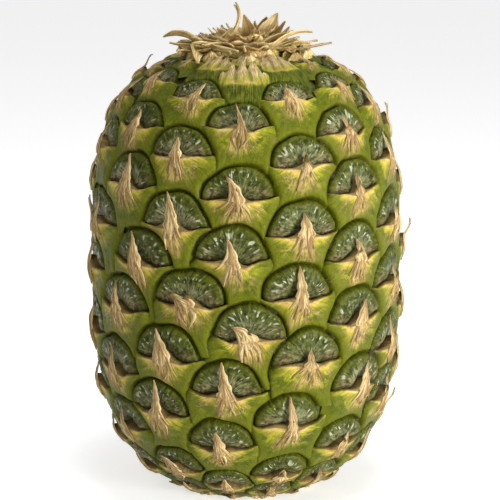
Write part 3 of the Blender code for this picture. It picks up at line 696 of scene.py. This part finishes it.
def dome_material():
    """Waxy dark green with a pale bloom in the middle, painted highlights as bright dashes round the rim,
    brown dry corners and painted shade along the foot under the ledge.
    """
    material = new_material("eye_green")
    put, step, mix, bump, shader, field, attribute, calc, plus, minus, times = node_tools(material)[1:]
    x, up, seed = attribute("eye")
    frost, brown, _ = attribute("look")
    squares = plus(times(x, x), times(up, up))
    radius = calc("DIVIDE", calc("SQRT", squares), DOME_RADIUS)
    turn = calc("ARCTAN2", up, x)
    far = times(seed, 90.0)
    streak = field(turn, 6.0, radius, 2.0, far, 4.0)
    fine = field(turn, 13.0, radius, 4.0, far, 3.0)
    dash = field(turn, 9.0, radius, 4.2, plus(far, 7.0), 1.0)
    blotch = field(x, 0.25, up, 0.25, far, 4.0)
    speck = field(x, 0.55, up, 0.55, far, 4.0, 0.6)
    y = plus(times(up, DOME_FLATNESS), DOME_RISE)
    line = times(times(x, x), ARM_LIFT / ARM_LENGTH**2)
    over = plus(minus(y, line), ARM_DROP)
    green = mix(step(0.36, 0.64, streak), (0.021, 0.031, 0.002), (0.066, 0.084, 0.008))
    green = mix(times(step(0.48, 0.66, speck), 0.55), green, (0.175, 0.185, 0.040))
    green = mix(times(step(0.48, 0.36, speck), 0.60), green, (0.024, 0.027, 0.002))
    middle = step(0.34, 0.74, radius, 1.0, 0.0)
    bloom = times(times(middle, step(0.34, 0.58, fine)), step(0.35, 1.0, frost, 0.35, 1.5))
    bloom = times(bloom, step(0.34, 0.60, speck, 0.35, 1.3), clamp=True)
    green = mix(times(bloom, 0.9), green, (0.325, 0.320, 0.170))
    # Painted highlights: short pale dashes in a ring near the rim stand for glints of the lights on the
    # ridges.
    ring = times(step(0.52, 0.64, radius), step(0.78, 0.86, radius, 1.0, 0.0))
    painted_glints = times(ring, step(0.58, 0.66, dash))
    green = mix(times(painted_glints, 0.8), green, (0.52, 0.55, 0.37))
    low = step(7.5, 2.5, over)
    sides = step(3.8, 8.5, calc("ABSOLUTE", x))
    patch = times(times(low, sides), step(0.95, 0.86, radius))
    patch = times(patch, step(0.46, 0.60, plus(blotch, times(brown, 0.16))))
    dead = mix(step(0.38, 0.62, speck), (0.040, 0.029, 0.012), (0.225, 0.168, 0.072))
    green = mix(times(patch, 0.88), green, dead)
    border = mix(step(0.40, 0.62, fine), (0.050, 0.060, 0.002), (0.092, 0.100, 0.005))
    green = mix(times(step(0.72, 0.86, radius), 0.85), green, border)
    green = mix(step(0.92, 1.0, radius), green, (0.064, 0.072, 0.005))
    # Painted shade: near black along the dome's foot, in the crevice under the ledge.
    green = mix(times(step(2.4, 0.2, over), 0.8), green, (0.016, 0.012, 0.005))
    put(shader.inputs["Base Color"], green)
    rough = plus(step(0.0, 1.0, bloom, 0.24, 0.5), times(patch, 0.3))
    put(shader.inputs["Roughness"], rough)
    shader.inputs["Specular IOR Level"].default_value = 0.20
    shader.inputs["Specular Tint"].default_value = (1.0, 1.0, 0.72, 1.0)
    relief = plus(times(dash, 0.8), plus(times(speck, 0.8), fine))
    put(shader.inputs["Normal"], bump(relief, 0.7, 0.0009))
    return material


def bract_material():
    """Yellow ledge, olive flanks, darker collar and a dry fibrous middle, with painted shade on the ledge's
    back wall and in the gaps between the lobes of leafy bracts.
    """
    material = new_material("bract")
    put, step, mix, bump, shader, field, attribute, calc, plus, minus, times = node_tools(material)[1:]
    x, y, seed = attribute("eye")
    # The dry channel holds a bract's dryness, or for leafy bracts the gaps between lobes, which are
    # darkened below as painted shade.
    gap, dry, leafy = attribute("look")
    far = times(seed, 90.0)
    wide = calc("ABSOLUTE", x)
    line = times(times(wide, wide), ARM_LIFT / ARM_LENGTH**2)
    below = minus(minus(line, y), ARM_DROP)
    turn = calc("ARCTAN2", minus(y, 4.0), x)
    turn = plus(times(turn, minus(1.0, leafy)), times(times(x, 0.09), leafy))
    fibre = field(turn, 16.0, below, 0.20, far, 4.0, 0.62)
    blotch = field(x, 0.22, y, 0.22, far, 4.0)
    speck = field(x, 1.0, y, 1.0, far, 4.0, 0.62)
    shift = times(minus(blotch, 0.5), 8.0)
    soft = plus(plus(below, shift), step(6.0, 14.5, wide, 0.0, 4.4))
    yellow = mix(step(0.34, 0.66, fibre), (0.47, 0.355, 0.038), (0.72, 0.54, 0.11))
    lime = mix(step(0.34, 0.66, fibre), (0.23, 0.235, 0.010), (0.47, 0.42, 0.05))
    green = mix(step(0.34, 0.66, fibre), (0.130, 0.155, 0.002), (0.350, 0.345, 0.022))
    dark = mix(step(0.34, 0.66, blotch), (0.040, 0.060, 0.001), (0.098, 0.125, 0.004))
    colour = mix(step(0.2, 2.6, soft), yellow, lime)
    colour = mix(step(2.2, 5.6, soft), colour, green)
    colour = mix(times(step(5.5, 11.0, soft), 0.8), colour, dark)
    shade = field(x, 0.16, y, 0.30, plus(far, 53.0), 3.0)
    colour = mix(times(step(0.43, 0.54, shade), step(1.5, 5.5, soft, 0.0, 0.85)), colour, dark)
    pale = times(step(0.58, 0.72, speck), step(2.0, 7.0, soft, 0.15, 0.5))
    colour = mix(pale, colour, (0.42, 0.40, 0.13))
    rusty = field(turn, 7.0, below, 0.16, plus(far, 31.0), 5.0, 0.65)
    rust = times(step(0.52, 0.60, rusty), step(0.4, 2.4, below))
    rust = times(rust, times(step(11.0, 5.0, below), step(12.5, 8.0, wide)))
    scurf = mix(step(0.4, 0.62, speck), (0.20, 0.115, 0.035), (0.50, 0.34, 0.15))
    colour = mix(times(rust, 0.72), colour, scurf)
    collar = step(5.4, 1.8, gap)
    colour = mix(times(collar, 0.9), colour, mix(fibre, (0.074, 0.088, 0.002), (0.165, 0.178, 0.005)))
    colour = mix(step(1.0, 0.0, gap), colour, (0.072, 0.080, 0.004))
    spread = plus(2.6, times(step(-1.0, 8.0, below), 2.4))
    heart = minus(spread, plus(wide, times(minus(fibre, 0.5), 9.0)))
    heart = times(step(-1.4, 1.2, heart), step(10.5, 4.5, plus(below, shift)))
    heart = times(heart, times(dry, step(0.32, 0.50, fibre, 0.55, 1.0)), clamp=True)
    heart = times(heart, minus(1.0, leafy))
    straw = mix(step(0.36, 0.60, fibre), (0.21, 0.125, 0.042), (0.66, 0.46, 0.17))
    straw = mix(times(step(0.54, 0.68, speck), 0.6), straw, (0.13, 0.075, 0.035))
    colour = mix(heart, colour, straw)
    stain = times(step(0.60, 0.70, blotch), step(0.45, 0.60, speck))
    colour = mix(times(stain, 0.55), colour, (0.20, 0.125, 0.06))
    margin = times(step(0.9, 0.1, below), step(10.5, 6.0, wide, 0.10, 1.0))
    margin = times(margin, step(0.36, 0.58, speck, 0.35, 1.0))
    colour = mix(margin, colour, mix(step(0.4, 0.6, blotch), (0.36, 0.22, 0.09), (0.70, 0.50, 0.22)))
    # Painted shade: dark brown on the back wall of the ledge, in the crevice between the ledge and its
    # dome's foot.
    wall = times(step(-0.1, -0.6, below), minus(1.0, leafy))
    colour = mix(times(wall, 0.75), colour, (0.09, 0.060, 0.018))
    rise = plus(times(below, -1.0), times(minus(fibre, 0.5), 9.0))
    rise = minus(rise, times(dry, 5.0))
    cream = mix(step(0.36, 0.62, fibre), (0.38, 0.24, 0.10), (0.74, 0.60, 0.30))
    cream = mix(times(step(0.50, 0.62, speck), 0.5), cream, (0.50, 0.30, 0.16))
    fresh = mix(fibre, (0.16, 0.17, 0.006), (0.60, 0.54, 0.08))
    colour = mix(times(leafy, step(-3.5, 3.0, rise)), colour, fresh)
    colour = mix(times(leafy, step(1.0, 8.0, rise)), colour, cream)
    deep = mix(step(0.36, 0.64, fibre), (0.026, 0.036, 0.002), (0.130, 0.155, 0.010))
    colour = mix(times(times(leafy, step(0.2, 3.2, below)), 0.9), colour, deep)
    # Painted shade: darker olive in the gaps between the raised lobes of leafy bracts.
    hollow = times(times(leafy, dry), step(1.5, -3.0, below))
    colour = mix(times(hollow, 0.6), colour, (0.110, 0.095, 0.015))
    put(shader.inputs["Base Color"], colour)
    put(shader.inputs["Roughness"], plus(0.38, times(heart, 0.4)))
    shader.inputs["Specular IOR Level"].default_value = 0.20
    shader.inputs["Specular Tint"].default_value = (1.0, 0.95, 0.50, 1.0)
    relief = plus(times(fibre, plus(0.7, heart)), times(speck, 0.7))
    put(shader.inputs["Normal"], bump(relief, 0.8, 0.0008))
    return material


def straw_material(name, pale, mid, deep, base, grain):
    """Dry fibrous plant matter with grain along its length, greener or paler at its root."""
    material = new_material(name)
    put, step, mix, bump, shader, field, attribute, calc, plus, minus, times = node_tools(material)[1:]
    across, along, seed = attribute("eye")
    kind, green, _ = attribute("look")
    far = times(seed, 70.0)
    grainy = field(across, grain * 0.35, along, 2.6, far, 4.0, 0.65)
    patchy = field(across, 0.8, along, 4.0, far, 3.0)
    colour = mix(step(0.38, 0.60, grainy), deep, mid)
    colour = mix(step(0.50, 0.68, grainy), colour, pale)
    colour = mix(times(step(0.50, 0.66, patchy), 0.6), colour, deep)
    tone = calc("FRACT", times(seed, 17.0))
    colour = mix(times(kind, step(0.45, 0.95, tone, 0.0, 0.75)), colour, deep)
    colour = mix(times(kind, step(0.30, 0.05, tone, 0.0, 0.6)), colour, pale)
    edge = step(0.70, 1.0, calc("ABSOLUTE", across))
    colour = mix(times(edge, 0.5), colour, pale)
    colour = mix(times(step(0.75, 1.0, along), 0.55), colour, deep)
    root = times(green, step(0.75, 0.15, plus(along, times(minus(patchy, 0.5), 0.6))))
    colour = mix(root, colour, base)
    put(shader.inputs["Base Color"], colour)
    put(shader.inputs["Roughness"], step(0.3, 0.7, grainy, 0.8, 0.6))
    shader.inputs["Specular IOR Level"].default_value = 0.2
    put(shader.inputs["Normal"], bump(grainy, 0.8, 0.0006))
    return material


def plain_material(name, dark, light, scale, roughness):
    """Two tones of one colour mottled in space."""
    material = new_material(name)
    noise, put, step, mix, bump, shader = node_tools(material)[:6]
    place = material.node_tree.nodes.new("ShaderNodeTexCoord").outputs["Object"]
    mottle = noise(place, scale, 4.0)
    put(shader.inputs["Base Color"], mix(step(0.35, 0.65, mottle), dark, light))
    shader.inputs["Roughness"].default_value = roughness
    put(shader.inputs["Normal"], bump(mottle, 0.5, 0.0006))
    return material


def settle(thing, node):
    """Ride on the body and stand for the solid."""
    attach(thing, "root")
    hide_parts(node)


def make_body():
    """Everything that stands for the solid fruit."""
    traits = eye_traits()
    under = Batch("under_skin")
    x = np.linspace(0, CHART_WIDTH, SKIN_AROUND + 1)[None, :-1]
    y = np.linspace(OUTLINE.low, OUTLINE.high, SKIN_UP)[:, None]
    points = OUTLINE.points(x + 0 * y, y + 0 * x, np.full((SKIN_UP, SKIN_AROUND), GROOVE_HEIGHT))
    under_rows = [points[:1] * (share, share, 0.0) + (0.0, 0.0, rise) for share, rise in UNDERSIDE]
    crown = points[-1:] * (CLOSED_END, CLOSED_END, 1.0)
    points = np.concatenate([*under_rows, points, crown])
    under.add_grid(points, points * 0, points * 0, closed=True)
    green = plain_material("groove_green", (0.040, 0.047, 0.004), (0.100, 0.110, 0.010), 260.0, 0.7)
    settle(under.build(green), "fruit")
    dome_look, bract_look = dome_material(), bract_material()
    tip_look = straw_material("papery_tip", *TIP_TONES, TIP_GRAIN)
    for half, word in ((0, "front"), (1, "back")):
        domes, bracts, tips = Batch("domes_" + word), Batch("bracts_" + word), Batch("tips_" + word)
        for index, (_, ey, column, row, leafy) in enumerate(EYES):
            if (abs(column) > 3) != bool(half):
                continue
            trait = traits[index]
            if OUTLINE.low - 4.0 < ey < OUTLINE.high - 2.0 and not leafy:
                add_dome(domes, index, trait)
            if OUTLINE.low < ey < OUTLINE.high + 6.0:
                add_bract(bracts, index, trait)
            if (OUTLINE.low + 16.0 < ey or (column, row) in STRAY) and not leafy:
                add_tip(tips, index, trait)
        for batch, look in ((domes, dome_look), (bracts, bract_look), (tips, tip_look)):
            settle(batch.build(look), "fruit")


def crown_leaves(rng):
    """The torn leaves of the crown: root, bend, tip, width, bluntness, turn to the front, greenness.

    Places are in millimetres from the middle of the top of the fruit: right, back and up.
    """
    leaves = [
        ((-17.0, -8.0, 1.4), (-23.5, -11.0, 10.7), (-32.3, -6.0, 7.0), 9.0, 0.0, 0.0, 0.1),
        ((-13.5, -12.0, 1.2), (-21.8, -17.0, 3.6), (-29.6, -14.0, 5.3), 5.5, 0.0, 0.0, 0.5),
        ((-17.9, -9.6, 1.3), (-21.0, -20.0, 3.6), (-18.6, -30.0, -1.0), 8.0, 0.1, 0.0, 0.9),
        ((-17.0, -6.0, 1.6), (-27.5, -11.0, 4.0), (-26.0, -22.0, 1.0), 5.0, 0.1, 0.0, 0.6),
        ((-9.7, -5.0, 4.0), (-0.3, -6.0, 14.2), (-5.0, -3.0, 19.5), 2.6, 0.3, 0.5, 0.0),
        ((-10.4, -9.0, 2.2), (-7.7, -8.5, 6.6), (-5.0, -6.0, 10.0), 6.0, 0.1, 0.8, 0.2),
        ((-6.0, -3.0, 5.2), (-9.9, -4.0, 5.8), (-13.4, -5.0, 8.0), 4.0, 0.0, 0.0, 0.6),
        ((1.6, 7.5, 2.8), (1.4, 6.2, 9.6), (-0.9, 4.0, 15.4), 9.5, 0.0, 1.0, 0.0),
        ((3.7, 9.0, 3.6), (3.6, 7.5, 8.6), (3.6, 6.0, 12.9), 4.4, 0.0, 1.0, 1.0),
        ((8.4, 7.0, 2.4), (9.0, 6.0, 10.4), (12.8, 4.4, 16.0), 12.5, 0.0, 1.0, 0.0),
        ((6.0, 8.2, 2.4), (6.4, 7.2, 9.8), (8.4, 6.2, 14.4), 9.5, 0.0, 1.0, 0.0),
        ((3.8, -3.5, 3.4), (3.6, -5.0, 7.4), (4.2, -3.5, 10.0), 6.5, 0.2, 1.0, 0.0),
        ((10.0, 6.0, 2.8), (13.4, 3.6, 8.4), (15.9, 2.0, 12.8), 4.6, 0.0, 0.6, 0.0),
        ((12.6, 2.0, 2.4), (15.7, 0.6, 7.4), (17.5, 0.0, 10.8), 4.4, 0.0, 0.6, 0.3),
        ((10.9, -10.0, 2.2), (17.4, -9.5, 9.9), (26.0, -6.0, 8.7), 7.5, 0.0, 0.3, 0.0),
        ((14.0, -8.0, 1.6), (19.9, -8.5, 5.8), (25.0, -7.0, 4.2), 4.5, 0.0, 0.0, 0.6),
        ((-14.0, -12.0, 1.4), (-15.0, -21.0, 5.0), (-5.0, -26.5, 2.0), 7.0, 0.3, 0.0, 0.4),
        ((-6.9, -12.0, 2.4), (-11.0, -20.0, 5.0), (-17.0, -22.0, 4.6), 7.0, 0.2, 0.0, 0.0),
    ]
    # Rings of leaf bases, with the slopes at bend and tip in degrees
    rings = (
        (8, 16.5, 0.6, 10.5, 16.0, 22, 2, 6.0, 0.3),
        (7, 14.0, 2.0, 9.0, 15.0, 30, 14, 28.0, 0.45),
        (5, 11.5, 3.2, 7.5, 14.0, 36, 20, 5.0, 0.6),
        (4, 8.0, 4.6, 6.0, 10.0, 54, 46, 28.0, 0.5),
    )
    for number, (count, root, level, length, width, start, end, first, blunt) in enumerate(rings):
        for step in range(count):
            turn = math.radians(first + 360.0 * step / count + rng.uniform(-9, 9))
            reach = root + rng.uniform(-1.0, 1.0)
            climb = level + rng.uniform(-0.4, 0.7)
            half = length * rng.uniform(0.8, 1.2) / 2
            path = []
            for slope in (0.0, start + rng.uniform(-7, 9), end + rng.uniform(-10, 12)):
                if path:
                    reach += half * math.cos(math.radians(slope))
                    climb += half * math.sin(math.radians(slope))
                path.append((reach * math.sin(turn), -reach * math.cos(turn), climb))
            width_now = width * rng.uniform(0.85, 1.15)
            blunt_now = blunt * rng.uniform(0.6, 1.2)
            leaves.append((*path, width_now, blunt_now, 0.0, 0.3 if number == 0 else 0.0))
    return leaves


def unit(rows):
    """Rows of vectors brought to length one."""
    return rows / np.maximum(np.linalg.norm(rows, axis=-1), 1e-9)[..., None]


def add_leaf(batch, row, rng, lift=0.0, clearance=LEAF_CLEARANCE):
    """One thin torn leaf, gutter-shaped, with wavy edges and a ragged end."""
    root, bend, tip, width, blunt, front, green = row
    seat = np.array([0.0, 0.0, OUTLINE.level[-1]])
    root, bend, tip = (np.array(place) * MM + seat for place in (root, bend, tip))
    seed = rng.random()
    across = np.linspace(-1.0, 1.0, LEAF_ACROSS)[None, :]
    share = np.linspace(0.0, 1.0, LEAF_STEPS)[:, None]
    ragged = 0.5 + 0.5 * ripple(across * 7.0, across * 0, seed, 4)
    share = share * (1 - LEAF_TEAR * blunt * np.clip(ragged, 0.0, 1.0))
    spot = share[..., None]
    spine = root * (1 - spot) ** 2 + bend * 2 * spot * (1 - spot) + tip * spot**2
    along = unit((bend - root) * (1 - spot) + (tip - bend) * spot)
    upright = unit(tip - root)[2]
    inward = unit(np.array([-root[0], -root[1], 0.0])) * (1 - front) + np.array([0.0, -front, 0.0])
    inward[2] = BLADE_UPWARD * (1 - upright**2)
    side = unit(np.cross(along, inward))
    normal = np.cross(side, along)
    taper = 1 - (1 - blunt) * share**1.4
    half = (width * taper + 0.5) * 0.5 * MM
    half = half * (1 + 0.07 * ripple(share * 16.0, across * 0.6, seed + 0.3, 4))
    gutter = half * BLADE_GUTTER * np.abs(across) ** 1.3
    crinkle = 0.28 * MM * ripple(across * 5.0, share * 9.0, seed + 0.6, 5) + lift * MM
    reach = np.hypot(spine[..., 0], spine[..., 1])
    upper = OUTLINE.chart > 0
    skin = np.interp(-reach, -OUTLINE.radius[upper], OUTLINE.level[upper]) + clearance
    spine[..., 2] = np.where(reach > CORE_RADIUS, np.maximum(spine[..., 2], skin), spine[..., 2])
    middle = spine + side * (half * across)[..., None] + normal * (gutter + crinkle + 0.55 * MM)[..., None]
    thick = LEAF_THICK / 2 * (1 - 0.6 * np.abs(across) ** 3)
    over = middle + normal * thick[..., None]
    under = (middle - normal * thick[..., None])[:, ::-1]
    points = np.concatenate([over, under], axis=1)
    u, t = (np.concatenate([half, half[:, ::-1]], axis=1) for half in (across, share))
    batch.add_grid(points, three(u, t, seed), three(0.85, green, 1.0), closed=True)
    cap_ends(batch, points.shape[1], LEAF_STEPS)


def add_scales(batch, rng):
    """Short broad leaf bases that close the foot of the crown."""
    for reach, level, count in SCALE_RINGS:
        for step in range(count):
            turn = TAU * (step + rng.uniform(-0.3, 0.3)) / count
            path = []
            for inset, rise in ((0.0, -0.6), (0.8, 2.4), (rng.uniform(1.5, 4.0), rng.uniform(3.6, 6.0))):
                spot = reach - inset
                path.append((spot * math.sin(turn), -spot * math.cos(turn), level + rise))
            width = rng.uniform(10.0, 14.0)
            row = (*path, width, rng.uniform(0.05, 0.35), 0.0, rng.uniform(0.3, 0.9))
            add_leaf(batch, row, rng, 0.0, -1.0)


def make_crown():
    """The torn crown: core, leaves and loose fibres."""
    rng = random.Random(CROWN_SEED)
    fray = random.Random(FRAY_SEED)
    leaves = Batch("crown_leaves")
    rows = crown_leaves(rng)
    for row in rows:
        add_leaf(leaves, row, fray)
    for row in rows:
        root, bend, tip, width, blunt, front, _ = row
        if blunt < 0.12:
            continue
        for _ in range(2):
            aside, back = fray.uniform(-0.5, 0.5) * width, fray.uniform(-0.5, 0.5) * width
            swing = np.array([aside, back, fray.uniform(-0.3, 1.6)])
            far = np.array(tip) + swing + unit(np.array(tip) - np.array(bend)) * fray.uniform(-2.0, 0.6)
            near = np.array(root) + swing * 0.6
            middle = np.array(bend) + swing * 0.8
            slim = (tuple(near), tuple(middle), tuple(far), fray.uniform(0.5, 1.6), 0.0, front, 0.0)
            add_leaf(leaves, slim, fray, fray.uniform(0.1, 0.6))
    add_scales(leaves, fray)
    straw = straw_material("dry_leaf_look", *LEAF_TONES, LEAF_GRAIN)
    settle(leaves.build(straw), "crown_stub")
    core = Batch("crown_core")
    turn = np.linspace(0.0, TAU, 73)[None, :-1]
    seat = OUTLINE.level[-1] + 0.3 * MM
    radius, level = np.array(CORE_PROFILE).T[..., None] * MM
    level = level + seat
    wave = 1 + 0.03 * np.sin(9 * turn) * np.sin(5 * turn + 1.0)
    ring = radius * wave
    points = np.stack([ring * np.sin(turn), -ring * np.cos(turn), level + 0 * turn], axis=-1)
    grain = three(turn * 3.0 + 0 * radius, level / MM * 0.1 + 0 * turn, 0.3)
    core.add_grid(points, grain, points * 0, closed=True)
    cream = straw_material("crown_base", *CORE_TONES, LEAF_GRAIN)
    settle(core.build(cream), "crown_stub")


def finish_stalk():
    """A better material for the cut stalk, which stays as it is."""
    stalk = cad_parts["stalk_stub"]
    look = plain_material("stalk_look", (0.22, 0.14, 0.06), (0.50, 0.37, 0.20), 900.0, 0.85)
    stalk.material_slots[0].material = look


def add_camera():
    """The photograph's viewpoint."""
    middle = Vector((0.0, 0.0, LOWER_HEIGHT - BASE_CUT))
    camera = bpy.data.cameras.new("view")
    camera.sensor_fit = "HORIZONTAL"
    camera.sensor_width = SENSOR_WIDTH
    camera.lens = SENSOR_WIDTH * FOCAL_PIXELS / FRAME_PIXELS
    camera.shift_x = (FRAME_PIXELS / 2 - AXIS_PIXEL[0]) / FRAME_PIXELS
    camera.shift_y = (AXIS_PIXEL[1] - FRAME_PIXELS / 2) / FRAME_PIXELS
    camera.clip_start = 0.02
    thing = bpy.data.objects.new("view", camera)
    away = Vector((0.0, -math.cos(VIEW_ELEVATION), math.sin(VIEW_ELEVATION)))
    thing.location = middle + away * VIEW_DISTANCE
    thing.rotation_euler = (math.pi / 2 - VIEW_ELEVATION, 0.0, 0.0)
    bpy.context.scene.collection.objects.link(thing)
    bpy.context.scene.camera = thing


def add_light(name, place, size, power):
    """A square soft light that looks at the fruit."""
    data = bpy.data.lights.new(name, "AREA")
    data.shape = "SQUARE"
    data.size = size
    data.energy = power
    thing = bpy.data.objects.new(name, data)
    thing.location = place
    thing.rotation_euler = (Vector(LIGHT_TARGET) - Vector(place)).to_track_quat("-Z", "Y").to_euler()
    bpy.context.scene.collection.objects.link(thing)


def add_studio():
    """Pale floor, pale surroundings and soft lights."""
    mesh = bpy.data.meshes.new("floor")
    corners = [(x * FLOOR_REACH, y * FLOOR_REACH, 0) for x, y in ((-1, -1), (1, -1), (1, 1), (-1, 1))]
    mesh.from_pydata(corners, [], [(0, 1, 2, 3)])
    floor = bpy.data.objects.new("floor", mesh)
    material = new_material("floor_white")
    shader = material.node_tree.nodes["Principled BSDF"]
    shader.inputs["Base Color"].default_value = (0.86, 0.86, 0.86, 1.0)
    shader.inputs["Roughness"].default_value = 0.9
    shader.inputs["Emission Color"].default_value = (1.0, 1.0, 1.0, 1.0)
    seen = material.node_tree.nodes.new("ShaderNodeLightPath")
    glow = material.node_tree.nodes.new("ShaderNodeMath")
    glow.operation = "MULTIPLY_ADD"
    glow.inputs[1].default_value = FLOOR_GLOW
    glow.inputs[2].default_value = FLOOR_GLOW
    material.node_tree.links.new(seen.outputs["Is Camera Ray"], glow.inputs[0])
    material.node_tree.links.new(glow.outputs[0], shader.inputs["Emission Strength"])
    mesh.materials.append(material)
    bpy.context.scene.collection.objects.link(floor)
    world = bpy.data.worlds.new("studio")
    world.use_nodes = True
    nodes, links = world.node_tree.nodes, world.node_tree.links
    seen = nodes.new("ShaderNodeLightPath")
    strength = nodes.new("ShaderNodeMapRange")
    strength.inputs["To Min"].default_value = SKY_LIGHT
    strength.inputs["To Max"].default_value = 1.0
    links.new(seen.outputs["Is Camera Ray"], strength.inputs["Value"])
    sky = nodes["Background"]
    sky.inputs[0].default_value = (1.0, 1.0, 1.0, 1.0)
    links.new(strength.outputs[0], sky.inputs[1])
    bpy.context.scene.world = world
    for light in LIGHTS:
        add_light(*light)
    bpy.context.scene.view_settings.view_transform = "Standard"


make_body()
make_crown()
finish_stalk()
add_camera()
add_studio()
